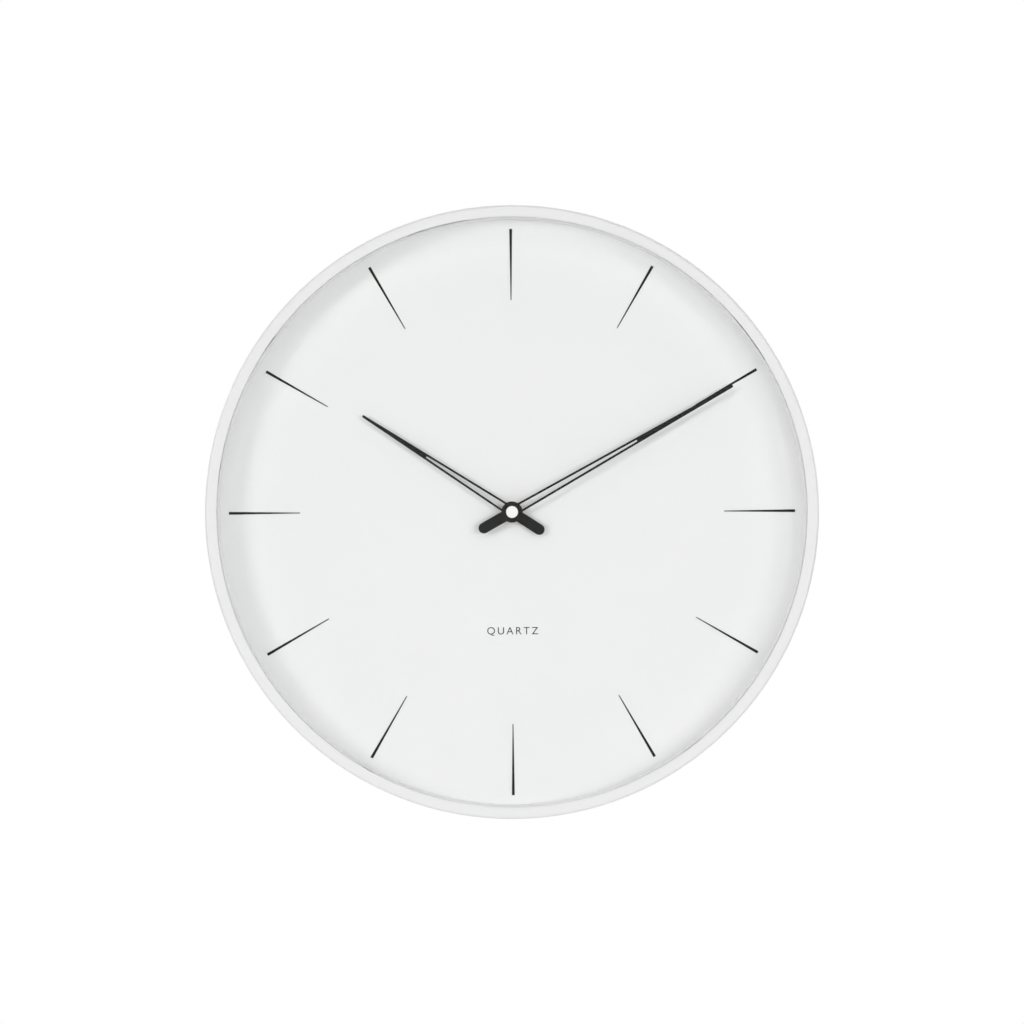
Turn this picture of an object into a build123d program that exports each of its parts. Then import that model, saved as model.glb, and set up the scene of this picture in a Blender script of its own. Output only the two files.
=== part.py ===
from build123d import *

import os
from math import cos, pi, radians, sin

# A 400 mm wall clock: a white sheet-steel drum, a flat dial behind glass, two pierced hands
# and a quartz movement that runs on one AA cell.
# It is modelled lying on its back, with X to the right, Y to 12 o'clock and Z from the wall
# to the viewer. The origin is on the hands' axis, in the plane of the wall. The last section
# stands every piece up, so that the dial faces -Y and 12 o'clock is at +Z.
# Lengths are in millimetres. Angles are in degrees, anticlockwise from +X, except that hand
# and marker angles are clockwise from 12 o'clock.

# The drum
DRUM_RADIUS = 200.0
DRUM_DEPTH = 50.0
SHEET = 1.2  # sheet steel of the drum
LIP_WIDTH = 7.5  # flat ring in front of the glass
LIP_ROUNDING = 2.0
HEM_HEIGHT = 4.0  # the sheet is folded back on itself at the wall
HEM_ROUNDING = 0.5

# Glass and the white ring that spaces it from the dial
GLASS_THICKNESS = 2.5
GLASS_PLAY = 0.6
GLASS_CHAMFER = 0.3
SPACER_WALL = 1.2
SPACER_INSET = 0.5  # how far the ring's wall stands inside the drum's opening
SPACER_FLANGE = 2.0
SPACER_RIBS = 12
SPACER_RIB_WIDTH = 2.0

# Dial, hour markers and backing board
DIAL_THICKNESS = 0.8
MARKERS = 12
MARKER_THICKNESS = 0.15
MARKER_LENGTH = 46.7
MARKER_INNER_WIDTH = 0.55
MARKER_OUTER_WIDTH = 1.85
MARKER_MARGIN = 6.5  # from a marker's outer end to the drum's opening
BOARD_THICKNESS = 4.0
BOARD_PLAY = 0.3
CENTRE_HOLE_PLAY = 0.2

# Brackets and screws that hold the board in the drum
BRACKETS = 6
BRACKET_FIRST_ANGLE = 30.0
BRACKET_ANGLE = 6.0  # angle that one bracket takes up on the drum's wall
BRACKET_SHEET = 1.5
BRACKET_HEIGHT = 11.8
BRACKET_PLAY = 0.3
SCREW_RADIUS = 1.25
SCREW_HOLE_PLAY = 0.2
SCREW_HEAD_RADIUS = 2.2
SCREW_HEAD_HEIGHT = 1.8
SCREW_HEAD_ROUNDING = 0.6
SCREW_RECESS_WIDTH = 0.7
SCREW_RECESS_DEPTH = 0.9
SCREW_RECESS_REACH = 1.55
SCREW_TIP = 0.5  # how far a screw's tip passes through what it bites into

# Hanger plate
HANGER_SHEET = 1.5
HANGER_LENGTH = 60.0
HANGER_WIDTH = 24.0
HANGER_FOOT = 8.0
HANGER_WALL_GAP = 3.0  # from the wall to the plate's bridge
HANGER_EDGE = 57.3  # from the keyhole's centre to the board's edge
HANGER_BEND = 0.8
KEYHOLE_RADIUS = 4.5
KEYHOLE_SLOT_RADIUS = 2.25
KEYHOLE_SLOT_RISE = 6.5

# Housing of the movement
WALL_GAP = 2.2  # from the wall to the back of the movement
MOVEMENT_SIDE = 56.0
MOVEMENT_CORNER = 3.0
HOUSING_WALL = 1.0
HOUSING_FRONT = 1.5
COVER_THICKNESS = 1.5
COVER_PLAY = 0.1
BRIDGE_THICKNESS = 1.0
BRIDGE_COVER_GAP = 0.2
BRIDGE_GEAR_GAP = 0.4
PILLAR_RADIUS = 1.2
PEG_RADIUS = 0.8

# Bush, washers and nut that clamp the movement to the board
BUSH_WALL = 1.35
BUSH_FLANGE = 2.0
BUSH_RISE = 0.5  # how far the bush stands out of the nut
BUSH_CHAMFER = 0.3
RUBBER_THICKNESS = 1.0
RUBBER_RADIUS = 9.0
DIAL_WASHER_THICKNESS = 0.5
DIAL_WASHER_RADIUS = 6.6
NUT_ACROSS_FLATS = 11.0
NUT_HEIGHT = 2.5
NUT_CHAMFER = 0.4

# Shafts on the hands' axis, one inside the other
ARBOR_RADIUS = 1.75
SECONDS_SHAFT_RADIUS = 0.55
HOUR_TUBE_WALL = 0.7
RUNNING_PLAY = 0.1
CLUTCH_PLAY = 0.05
ARBOR_RISE = 1.4  # the arbor's end above the minute hand
TUBE_RISE = 0.7  # the hour tube's end above the hour hand
SECONDS_SHAFT_DROP = 3.0  # the seconds shaft ends this far below the arbor's end

# Hands
HAND_THICKNESS = 0.6
HAND_BOSS_RADIUS = 6.95
HAND_TAIL_WIDTH = 7.1
HAND_TAIL_LENGTH = 24.75
MINUTE_TIP_MARGIN = 25.8  # from the minute hand's tip to the drum's opening
HOUR_TIP_MARGIN = 75.9
MINUTE_SLOT_END = 94.3
HOUR_SLOT_END = 66.8
MINUTE_BAR = 1.4
HOUR_BAR = 1.35
MINUTE_ROOT_HALF = 3.3
HOUR_ROOT_HALF = 3.4
MINUTE_TIP_HALF = 0.85
HOUR_TIP_HALF = 0.8
MINUTE_TIP_ROUNDING = 0.35
HOUR_TIP_ROUNDING = 0.7
MINUTE_ANGLE = 60.5
HOUR_ANGLE = 303.0
HOUR_HAND_GAP = 0.7  # from the bush to the hour hand
HANDS_GAP = 2.2  # from the hour hand to the minute hand
COLLET_WALL = 1.05
COLLET_NECK = 0.45
COLLET_DROP = 0.4
COLLET_RIVET = 0.3
CAP_RADIUS = 3.95
CAP_HEIGHT = 2.5
CAP_ROUNDING = 0.9
CAP_RIVET_PLAY = 0.1

# Gears
GEAR_FACE = 1.6
GEAR_GAP = 0.3
GEAR_LAYERS = 6
ADDENDUM = 0.7  # in modules
DEDENDUM = 1.0  # in modules
TIP_SHARE = 0.22  # width of a tooth at its tip, in tooth pitches
ROOT_SHARE = 0.46  # width of a tooth at its root, in tooth pitches
MOTION_MODULE = 0.52
SECONDS_MODULE = 0.41
ROTOR_MODULE = 0.25
THIRD_DISTANCE = 10.2
CANNON_TEETH = 10
MINUTE_WHEEL_TEETH = 30
MINUTE_PINION_TEETH = 8
HOUR_WHEEL_TEETH = 32
CENTRE_TEETH = 64
THIRD_PINION_TEETH = 8
THIRD_TEETH = 60
SECONDS_PINION_TEETH = 8
SECONDS_TEETH = 40
INTERMEDIATE_PINION_TEETH = 10
INTERMEDIATE_TEETH = 60
ROTOR_PINION_TEETH = 8
THIRD_DIRECTION = 180.0
INTERMEDIATE_DIRECTION = -10.0
ROTOR_DIRECTION = 60.0
PIN_RADIUS = 0.5
PIVOT_RADIUS = 0.4
PIVOT_PLAY = 0.05
PIVOT_LENGTH = 0.6
PIVOT_HOLE_DEPTH = 0.8
PIN_END_GAP = 0.1

# Setting knob
KNOB_RADIUS = 4.2
KNOB_THICKNESS = 1.3
KNOB_STEM_RADIUS = 1.5
KNOB_COVER_GAP = 0.3
KNOB_GROOVES = 18
KNOB_GROOVE_RADIUS = 0.35

# Step motor
MAGNET_RADIUS = 3.0
MAGNET_HEIGHT = 4.0
ROTOR_BOSS_GAP = 0.6  # from the magnet to the boss that carries the rotor's front pivot
ROTOR_HUB_RADIUS = 0.8
ROTOR_AIR_GAP = 0.5
ROTOR_BOSS_RADIUS = 1.5
LAMINATION = 1.0
STATOR_GEAR_GAP = 0.2  # from the intermediate wheel's pinion to the stator in front of it
STATOR_LEFT = 9.0
STATOR_RIGHT = 19.2
STATOR_PAD_RIGHT = 20.4
STATOR_LOW = -9.8
STATOR_HIGH = 18.4
STATOR_PAD = 4.2
STATOR_NECK_RADIUS = 0.6
COIL_X = 23.0
COIL_RADIUS = 3.4
COIL_CORE_WIDTH = 3.0
COIL_LUG_LEFT = 16.0
BOBBIN_HALF = 3.5
BOBBIN_FLANGE = 0.8
BOBBIN_WALL = 0.5
BOBBIN_PAD_GAP = 0.6

# Circuit board
CIRCUIT_THICKNESS = 1.0
CIRCUIT_LEFT = -25.5
CIRCUIT_RIGHT = 17.0
CIRCUIT_LOW = 19.0
CIRCUIT_MARGIN = 1.0  # from the board to the housing wall above it
CIRCUIT_POST_RADIUS = 1.5
CIRCUIT_POSTS = (-20.0, 11.0)
CHIP_X = -6.0
CHIP_RADIUS = 3.0
CHIP_HEIGHT = 1.1
CHIP_ROUNDING = 0.9
CRYSTAL_X = 1.5
CRYSTAL_RADIUS = 1.0
CRYSTAL_LENGTH = 6.0

# AA cell and its contacts
CELL_RADIUS = 7.25
CELL_LENGTH = 50.5
CELL_BUTTON_RADIUS = 2.75
CELL_BUTTON_LENGTH = 1.0
CELL_ROUNDING = 0.8
CELL_PLAY = 0.35
CELL_DEPTH_PLAY = 0.15
CONTACT_SHEET = 0.4
CONTACT_WIDTH = 10.0
CONTACT_STRIP = 3.0
CONTACT_STRIP_LIFT = 2.2  # the strip runs this far in front of the circuit board
CONTACT_TAB = 1.0
CONTACT_GAP = 0.1
CONTACT_DIMPLE_RADIUS = 2.5
CONTACT_SLOT_PLAY = 0.1

# Pillars of the housing that carry the train's bridge; the first two also carry the stator
PILLARS = ((18.0, 16.4), (18.0, -7.7), (-18.0, 12.0), (-21.0, -8.4))

# Radii and heights that follow from the sizes above
DRUM_INNER = DRUM_RADIUS - SHEET
HEM_INNER = DRUM_INNER - SHEET
OPENING_RADIUS = DRUM_RADIUS - LIP_WIDTH
LIP_BACK = DRUM_DEPTH - SHEET
GLASS_BACK = LIP_BACK - GLASS_THICKNESS
GLASS_RADIUS = HEM_INNER - GLASS_PLAY
SPACER_INNER = OPENING_RADIUS - SPACER_INSET
SPACER_OUTER = SPACER_INNER + SPACER_WALL
BOARD_RADIUS = HEM_INNER - BOARD_PLAY
DIAL_RADIUS = SPACER_OUTER - RUNNING_PLAY
SCREW_CIRCLE = (SPACER_OUTER + BOARD_RADIUS) / 2

GEAR_STACK = GEAR_LAYERS * GEAR_FACE + GEAR_LAYERS * GEAR_GAP
BACK_STACK = BRIDGE_GEAR_GAP + BRIDGE_THICKNESS + BRIDGE_COVER_GAP + COVER_THICKNESS
MOVEMENT_DEPTH = HOUSING_FRONT + GEAR_STACK + BACK_STACK
MOVEMENT_FRONT = WALL_GAP + MOVEMENT_DEPTH
CAVITY_FRONT = MOVEMENT_FRONT - HOUSING_FRONT
COVER_FRONT = WALL_GAP + COVER_THICKNESS
BRIDGE_BACK = COVER_FRONT + BRIDGE_COVER_GAP
BRIDGE_FRONT = BRIDGE_BACK + BRIDGE_THICKNESS
BOARD_BACK = MOVEMENT_FRONT + RUBBER_THICKNESS
DIAL_BACK = BOARD_BACK + BOARD_THICKNESS
DIAL_FRONT = DIAL_BACK + DIAL_THICKNESS
NUT_BACK = DIAL_FRONT + DIAL_WASHER_THICKNESS
BUSH_FRONT = NUT_BACK + NUT_HEIGHT + BUSH_RISE

ARBOR_BORE = SECONDS_SHAFT_RADIUS + RUNNING_PLAY
TUBE_BORE = ARBOR_RADIUS + RUNNING_PLAY
TUBE_RADIUS = TUBE_BORE + HOUR_TUBE_WALL
BUSH_BORE = TUBE_RADIUS + RUNNING_PLAY
BUSH_RADIUS = BUSH_BORE + BUSH_WALL
BUSH_FLANGE_RADIUS = BUSH_RADIUS + BUSH_FLANGE
CENTRE_HOLE = BUSH_RADIUS + CENTRE_HOLE_PLAY

HOUR_HAND_BACK = BUSH_FRONT + HOUR_HAND_GAP
HOUR_HAND_FRONT = HOUR_HAND_BACK + HAND_THICKNESS
MINUTE_HAND_BACK = HOUR_HAND_FRONT + HANDS_GAP
MINUTE_HAND_FRONT = MINUTE_HAND_BACK + HAND_THICKNESS
TUBE_FRONT = HOUR_HAND_FRONT + TUBE_RISE
ARBOR_FRONT = MINUTE_HAND_FRONT + ARBOR_RISE
SECONDS_SHAFT_FRONT = ARBOR_FRONT - SECONDS_SHAFT_DROP

HALF_SIDE = MOVEMENT_SIDE / 2
CAVITY_SIDE = HALF_SIDE - HOUSING_WALL
CAVITY_CORNER = MOVEMENT_CORNER - HOUSING_WALL
CELL_Y = -CAVITY_SIDE + CELL_PLAY + CELL_RADIUS
CELL_Z = WALL_GAP + CELL_DEPTH_PLAY + CELL_RADIUS
BAY_FRONT = CELL_Z + CELL_RADIUS + CELL_DEPTH_PLAY
BAY_TOP = CELL_Y + CELL_RADIUS + CELL_PLAY
CAVITY_LOW = BAY_TOP + HOUSING_WALL

CENTRE_MODULE = 2 * THIRD_DISTANCE / (CENTRE_TEETH + THIRD_PINION_TEETH)
THIRD_MODULE = 2 * THIRD_DISTANCE / (THIRD_TEETH + SECONDS_PINION_TEETH)
MOTION_DISTANCE = MOTION_MODULE * (CANNON_TEETH + MINUTE_WHEEL_TEETH) / 2
SECONDS_DISTANCE = SECONDS_MODULE * (SECONDS_TEETH + INTERMEDIATE_PINION_TEETH) / 2
ROTOR_DISTANCE = ROTOR_MODULE * (INTERMEDIATE_TEETH + ROTOR_PINION_TEETH) / 2

CUT = 0.5  # how far a cutting shape passes through the face that it cuts
NEAR = 0.01  # tolerance for picking an edge by its place
FULL_TURN = 360.0
BASE = (Align.CENTER, Align.CENTER, Align.MIN)
CORNER = (Align.MIN, Align.MIN, Align.MIN)


def around(distance, angle, start=(0.0, 0.0)):
    """The point at a distance and an anticlockwise angle from a start point."""
    return (start[0] + distance * cos(radians(angle)), start[1] + distance * sin(radians(angle)))


CENTRE_POST = (0.0, 0.0)
MINUTE_POST = (0.0, MOTION_DISTANCE)
THIRD_POST = around(THIRD_DISTANCE, THIRD_DIRECTION)
INTERMEDIATE_POST = around(SECONDS_DISTANCE, INTERMEDIATE_DIRECTION)
ROTOR_POST = around(ROTOR_DISTANCE, ROTOR_DIRECTION, INTERMEDIATE_POST)


def disc(radius, back, front, at=(0.0, 0.0)):
    """A round plate or pin along Z."""
    return Pos(at[0], at[1], back) * Cylinder(radius, front - back, align=BASE)


def hole(radius, back, front, at=(0.0, 0.0)):
    """A disc a little longer at both ends, to cut with."""
    return disc(radius, back - CUT, front + CUT, at)


def ring(outer, inner, back, front, at=(0.0, 0.0)):
    """A round tube or washer along Z."""
    return disc(outer, back, front, at) - hole(inner, back, front, at)


def block(left, right, low, high, back, front):
    """A box given by its six faces."""
    size = (right - left, high - low, front - back)
    return Pos(left, low, back) * Box(*size, align=CORNER)


def rounded_block(left, right, low, high, back, front, corner):
    """A box whose four edges along Z are rounded."""
    box = block(left, right, low, high, back, front)
    return fillet(box.edges().filter_by(Axis.Z), corner)


def turned(outline):
    """A solid of revolution about Z from (radius, height) corners."""
    corners = [(radius, 0, height) for radius, height in outline]
    return revolve(make_face(Polyline(*corners, close=True)), Axis.Z)


def circles(shape, radius, height):
    """The round edges about Z that have this radius and height."""
    found = []
    for edge in shape.edges().filter_by(GeomType.CIRCLE):
        if abs(edge.radius - radius) < NEAR and abs(edge.arc_center.Z - height) < NEAR:
            found.append(edge)
    return found


def spun(shape, count, first=0.0):
    """Copies of a shape evenly about Z, as separate solids."""
    return Part() + [Rot(0, 0, first + i * FULL_TURN / count) * shape for i in range(count)]


def layer_back(layer):
    """Back face of a gear layer; layer 0 is the one behind the housing's front wall."""
    return CAVITY_FRONT - (layer + 1) * (GEAR_GAP + GEAR_FACE)


def layer_front(layer):
    return layer_back(layer) + GEAR_FACE


def gear(teeth, module, layer, post, tooth_at):
    """A spur gear with straight-sided teeth and wide backlash, as moulded clock wheels have."""
    pitch_radius = teeth * module / 2
    root = pitch_radius - DEDENDUM * module
    tip = pitch_radius + ADDENDUM * module
    pitch_angle = FULL_TURN / teeth
    root_half = ROOT_SHARE * pitch_angle / 2
    tip_half = TIP_SHARE * pitch_angle / 2
    corners = []
    for i in range(teeth):
        middle = tooth_at + i * pitch_angle
        corners.append(around(root, middle - root_half))
        corners.append(around(tip, middle - tip_half))
        corners.append(around(tip, middle + tip_half))
        corners.append(around(root, middle + root_half))
    return Pos(post[0], post[1], layer_back(layer)) * extrude(Polygon(*corners, align=None), GEAR_FACE)


def gap_at(teeth, direction):
    """The angle of a tooth when a gap points in this direction."""
    return direction + FULL_TURN / teeth / 2


def pinned(post, back, front):
    """A wheel's steel pin: a thick middle with a thin pivot at each end."""
    pin = disc(PIN_RADIUS, back + PIN_END_GAP, front - PIN_END_GAP, post)
    return pin + disc(PIVOT_RADIUS, back - PIVOT_LENGTH, front + PIVOT_LENGTH, post)


def screw(head_back, tip, at):
    """A pan-head screw driven from the back, with a cross recess in its head."""
    head = disc(SCREW_HEAD_RADIUS, head_back, head_back + SCREW_HEAD_HEIGHT)
    head = fillet(circles(head, SCREW_HEAD_RADIUS, head_back), SCREW_HEAD_ROUNDING)
    reach = SCREW_RECESS_REACH
    half = SCREW_RECESS_WIDTH / 2
    floor = head_back + SCREW_RECESS_DEPTH
    head -= block(-reach, reach, -half, half, head_back - CUT, floor)
    head -= block(-half, half, -reach, reach, head_back - CUT, floor)
    return Pos(at[0], at[1], 0) * (head + disc(SCREW_RADIUS, head_back + SCREW_HEAD_HEIGHT, tip))


# ---- Drum ----


def make_case_shell():
    """Spun sheet-steel drum: outer wall, flat front lip with a rounded corner, hem at the wall."""
    shell = turned(
        [
            (HEM_INNER, 0),
            (DRUM_RADIUS, 0),
            (DRUM_RADIUS, DRUM_DEPTH),
            (OPENING_RADIUS, DRUM_DEPTH),
            (OPENING_RADIUS, LIP_BACK),
            (DRUM_INNER, LIP_BACK),
            (DRUM_INNER, HEM_HEIGHT),
            (HEM_INNER, HEM_HEIGHT),
        ]
    )
    shell = fillet(circles(shell, DRUM_RADIUS, DRUM_DEPTH), LIP_ROUNDING)
    hem_edges = circles(shell, DRUM_RADIUS, 0) + circles(shell, HEM_INNER, 0)
    return fillet(hem_edges, HEM_ROUNDING)


def make_glass_lens():
    """Flat round glass that rests against the back of the lip."""
    glass = disc(GLASS_RADIUS, GLASS_BACK, LIP_BACK)
    rims = circles(glass, GLASS_RADIUS, GLASS_BACK) + circles(glass, GLASS_RADIUS, LIP_BACK)
    return chamfer(rims, GLASS_CHAMFER)


def make_spacer_ring():
    """White plastic ring between dial and glass: wall, outward flange under the glass, ribs."""
    flange_back = GLASS_BACK - SPACER_FLANGE
    rib_radius = GLASS_RADIUS - SPACER_INSET
    body = turned(
        [
            (SPACER_INNER, DIAL_FRONT),
            (SPACER_OUTER, DIAL_FRONT),
            (SPACER_OUTER, flange_back),
            (GLASS_RADIUS, flange_back),
            (GLASS_RADIUS, GLASS_BACK),
            (SPACER_INNER, GLASS_BACK),
        ]
    )
    half = SPACER_RIB_WIDTH / 2
    wall_middle = (SPACER_INNER + SPACER_OUTER) / 2
    rib_back = DIAL_BACK + BRACKET_SHEET + BRACKET_PLAY
    rib = block(wall_middle, rib_radius, -half, half, rib_back, GLASS_BACK - SPACER_FLANGE / 2)
    for i in range(SPACER_RIBS):
        body += Rot(0, 0, (i + 0.5) * FULL_TURN / SPACER_RIBS) * rib
    return body


# ---- Dial and board ----


def make_dial_plate():
    """White painted aluminium disc."""
    return ring(DIAL_RADIUS, CENTRE_HOLE, DIAL_BACK, DIAL_FRONT)


def make_hour_markers():
    """Twelve thin batons that widen outwards, laid on the dial."""
    outer = OPENING_RADIUS - MARKER_MARGIN
    inner = outer - MARKER_LENGTH
    outline = Polygon(
        (inner, -MARKER_INNER_WIDTH / 2),
        (outer, -MARKER_OUTER_WIDTH / 2),
        (outer, MARKER_OUTER_WIDTH / 2),
        (inner, MARKER_INNER_WIDTH / 2),
        align=None,
    )
    baton = Pos(0, 0, DIAL_FRONT) * extrude(outline, MARKER_THICKNESS)
    return spun(baton, MARKERS)


def bracket_points():
    """Screw places of the board, one for each bracket."""
    step = FULL_TURN / BRACKETS
    return [around(SCREW_CIRCLE, BRACKET_FIRST_ANGLE + i * step) for i in range(BRACKETS)]


def hanger_height():
    """Height of the keyhole's centre above the hands' axis."""
    return BOARD_RADIUS - HANGER_EDGE


def hanger_screw_points():
    offset = HANGER_LENGTH / 2 - HANGER_FOOT / 2
    return [(-offset, hanger_height()), (offset, hanger_height())]


def make_backing_board():
    """Fibreboard disc that carries the dial, the movement and the hanger."""
    board = ring(BOARD_RADIUS, CENTRE_HOLE, BOARD_BACK, DIAL_BACK)
    for point in bracket_points():
        board -= hole(SCREW_RADIUS + SCREW_HOLE_PLAY, BOARD_BACK, DIAL_BACK, point)
    for point in hanger_screw_points():
        board -= disc(SCREW_RADIUS, BOARD_BACK - CUT, DIAL_BACK - SCREW_TIP, point)
    return board


def make_board_brackets():
    """Six angle brackets welded to the drum's wall, with a foot in front of the board."""
    foot_inner = SPACER_OUTER + BRACKET_PLAY
    foot_front = DIAL_BACK + BRACKET_SHEET
    upright_inner = DRUM_INNER - SHEET
    section = [
        (foot_inner, DIAL_BACK),
        (DRUM_INNER, DIAL_BACK),
        (DRUM_INNER, DIAL_BACK + BRACKET_HEIGHT),
        (upright_inner, DIAL_BACK + BRACKET_HEIGHT),
        (upright_inner, foot_front),
        (foot_inner, foot_front),
    ]
    face = make_face(Polyline(*[(radius, 0, height) for radius, height in section], close=True))
    bracket = Rot(0, 0, -BRACKET_ANGLE / 2) * revolve(face, Axis.Z, BRACKET_ANGLE)
    bracket -= hole(SCREW_RADIUS, DIAL_BACK, foot_front, (SCREW_CIRCLE, 0.0))
    return spun(bracket, BRACKETS, BRACKET_FIRST_ANGLE)


def make_board_screws():
    tip = DIAL_BACK + BRACKET_SHEET + SCREW_TIP
    return Part() + [screw(BOARD_BACK - SCREW_HEAD_HEIGHT, tip, point) for point in bracket_points()]


def make_hanger_plate():
    """Bent steel strip with two feet on the board and a keyhole in the raised bridge."""
    foot_outer = HANGER_LENGTH / 2
    foot_inner = foot_outer - HANGER_FOOT
    bridge_half = foot_inner - HANGER_SHEET
    bridge_front = HANGER_WALL_GAP + HANGER_SHEET
    foot_back = BOARD_BACK - HANGER_SHEET
    right = [
        (foot_inner, HANGER_WALL_GAP),
        (foot_inner, foot_back),
        (foot_outer, foot_back),
        (foot_outer, BOARD_BACK),
        (bridge_half, BOARD_BACK),
        (bridge_half, bridge_front),
    ]
    left = [(-x, z) for x, z in reversed(right)]
    outline = make_face(Polyline(*[(x, 0, z) for x, z in right + left], close=True))
    plate = extrude(outline, HANGER_WIDTH / 2, dir=(0, 1, 0), both=True)
    inside_bends = []
    outside_bends = []
    for edge in plate.edges().filter_by(Axis.Y):
        place = edge.center()
        at = (round(abs(place.X), 3), round(place.Z, 3))
        if at in ((foot_inner, foot_back), (bridge_half, bridge_front)):
            inside_bends.append(edge)
        if at in ((foot_inner, HANGER_WALL_GAP), (bridge_half, BOARD_BACK)):
            outside_bends.append(edge)
    plate = fillet(inside_bends, HANGER_BEND)
    kept = [
        edge
        for edge in plate.edges().filter_by(Axis.Y)
        if any((edge.center() - bend.center()).length < NEAR for bend in outside_bends)
    ]
    plate = Pos(0, hanger_height(), 0) * fillet(kept, HANGER_BEND + HANGER_SHEET)
    at = (0.0, hanger_height())
    slot_top = (0.0, hanger_height() + KEYHOLE_SLOT_RISE)
    plate -= hole(KEYHOLE_RADIUS, HANGER_WALL_GAP, bridge_front, at)
    plate -= hole(KEYHOLE_SLOT_RADIUS, HANGER_WALL_GAP, bridge_front, slot_top)
    half = KEYHOLE_SLOT_RADIUS
    plate -= block(-half, half, at[1], slot_top[1], HANGER_WALL_GAP - CUT, bridge_front + CUT)
    for point in hanger_screw_points():
        plate -= hole(SCREW_RADIUS, foot_back, BOARD_BACK, point)
    return plate


def make_hanger_screws():
    head_back = BOARD_BACK - HANGER_SHEET - SCREW_HEAD_HEIGHT
    tip = DIAL_BACK - SCREW_TIP
    return Part() + [screw(head_back, tip, point) for point in hanger_screw_points()]


# ---- Movement: housing and what clamps it to the board ----


def contact_slot(side):
    """The cut in the housing's partition that lets a contact strip through."""
    play = CONTACT_SLOT_PLAY
    inner = CAVITY_SIDE - CONTACT_SHEET - play
    back = strip_back() - play
    front = strip_front() + play
    slot = block(inner, CAVITY_SIDE, BAY_TOP - CUT, CAVITY_LOW + CUT, back, front)
    return slot if side > 0 else mirror(slot, Plane.YZ)


def strip_back():
    return circuit_front() + CONTACT_STRIP_LIFT


def strip_front():
    return strip_back() + CONTACT_STRIP


def circuit_front():
    """Front face of the circuit board, level with the front of the stator."""
    return stator_front()


def stator_back():
    """Back face of the stator, in front of the gear layer that its hole is too small for."""
    return layer_front(GEAR_LAYERS - 2) + STATOR_GEAR_GAP


def stator_front():
    return stator_back() + LAMINATION


def magnet_back():
    """Back face of the magnet, which is centred on the stator."""
    return stator_back() + LAMINATION / 2 - MAGNET_HEIGHT / 2


def rotor_boss_back():
    return magnet_back() + MAGNET_HEIGHT + ROTOR_BOSS_GAP


def circuit_middle_y():
    return (CIRCUIT_LOW + CAVITY_SIDE - CIRCUIT_MARGIN) / 2


def make_movement_housing():
    """Black moulded box, open to the back: gear room above, bay for the cell below."""
    side = HALF_SIDE
    inner = CAVITY_SIDE
    body = rounded_block(-side, side, -side, side, WALL_GAP, MOVEMENT_FRONT, MOVEMENT_CORNER)
    room = rounded_block(-inner, inner, -inner, inner, WALL_GAP - CUT, CAVITY_FRONT, CAVITY_CORNER)
    room &= block(-inner, inner, CAVITY_LOW, inner, WALL_GAP - CUT, CAVITY_FRONT)
    bay = rounded_block(-inner, inner, -inner, inner, WALL_GAP - CUT, BAY_FRONT, CAVITY_CORNER)
    bay &= block(-inner, inner, -inner, BAY_TOP, WALL_GAP - CUT, BAY_FRONT)
    body = body - room - bay
    body -= contact_slot(1)
    body -= contact_slot(-1)
    body -= hole(BUSH_FLANGE_RADIUS, CAVITY_FRONT, MOVEMENT_FRONT)
    for point in PILLARS:
        body += disc(PILLAR_RADIUS, BRIDGE_FRONT, CAVITY_FRONT + CUT, point)
        body += disc(PEG_RADIUS, BRIDGE_BACK, BRIDGE_FRONT + CUT, point)
    for x in CIRCUIT_POSTS:
        body += disc(CIRCUIT_POST_RADIUS, circuit_front(), CAVITY_FRONT + CUT, (x, circuit_middle_y()))
    body += disc(ROTOR_BOSS_RADIUS, rotor_boss_back(), CAVITY_FRONT + CUT, ROTOR_POST)
    pivot_hole = PIVOT_RADIUS + PIVOT_PLAY
    for post in (THIRD_POST, INTERMEDIATE_POST, MINUTE_POST):
        body -= disc(pivot_hole, CAVITY_FRONT - CUT, CAVITY_FRONT + PIVOT_HOLE_DEPTH, post)
    blind_end = rotor_boss_back() + PIVOT_HOLE_DEPTH
    return body - disc(pivot_hole, rotor_boss_back() - CUT, blind_end, ROTOR_POST)


def make_movement_back_cover():
    """Flat lid over the gear room, with a hole for the setting knob's stem."""
    inner = CAVITY_SIDE - COVER_PLAY
    low = CAVITY_LOW + COVER_PLAY
    lid = rounded_block(-inner, inner, -inner, inner, WALL_GAP, COVER_FRONT, CAVITY_CORNER)
    lid &= block(-inner, inner, low, inner, WALL_GAP, COVER_FRONT)
    return lid - hole(KNOB_STEM_RADIUS + RUNNING_PLAY, WALL_GAP, COVER_FRONT, MINUTE_POST)


def make_train_bridge():
    """Plate that carries the back pivots of the gear train."""
    margin = 2 * PILLAR_RADIUS
    left = min(x for x, y in PILLARS) - margin
    right = max(x for x, y in PILLARS) + margin
    low = min(y for x, y in PILLARS) - margin / 2
    high = max(y for x, y in PILLARS) + margin / 2
    plate = rounded_block(left, right, low, high, BRIDGE_BACK, BRIDGE_FRONT, PILLAR_RADIUS)
    for point in PILLARS:
        plate -= hole(PEG_RADIUS, BRIDGE_BACK, BRIDGE_FRONT, point)
    for post in (CENTRE_POST, THIRD_POST, INTERMEDIATE_POST, ROTOR_POST):
        plate -= hole(PIVOT_RADIUS + PIVOT_PLAY, BRIDGE_BACK, BRIDGE_FRONT, post)
    return plate - hole(PIN_RADIUS + RUNNING_PLAY, BRIDGE_BACK, BRIDGE_FRONT, MINUTE_POST)


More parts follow.
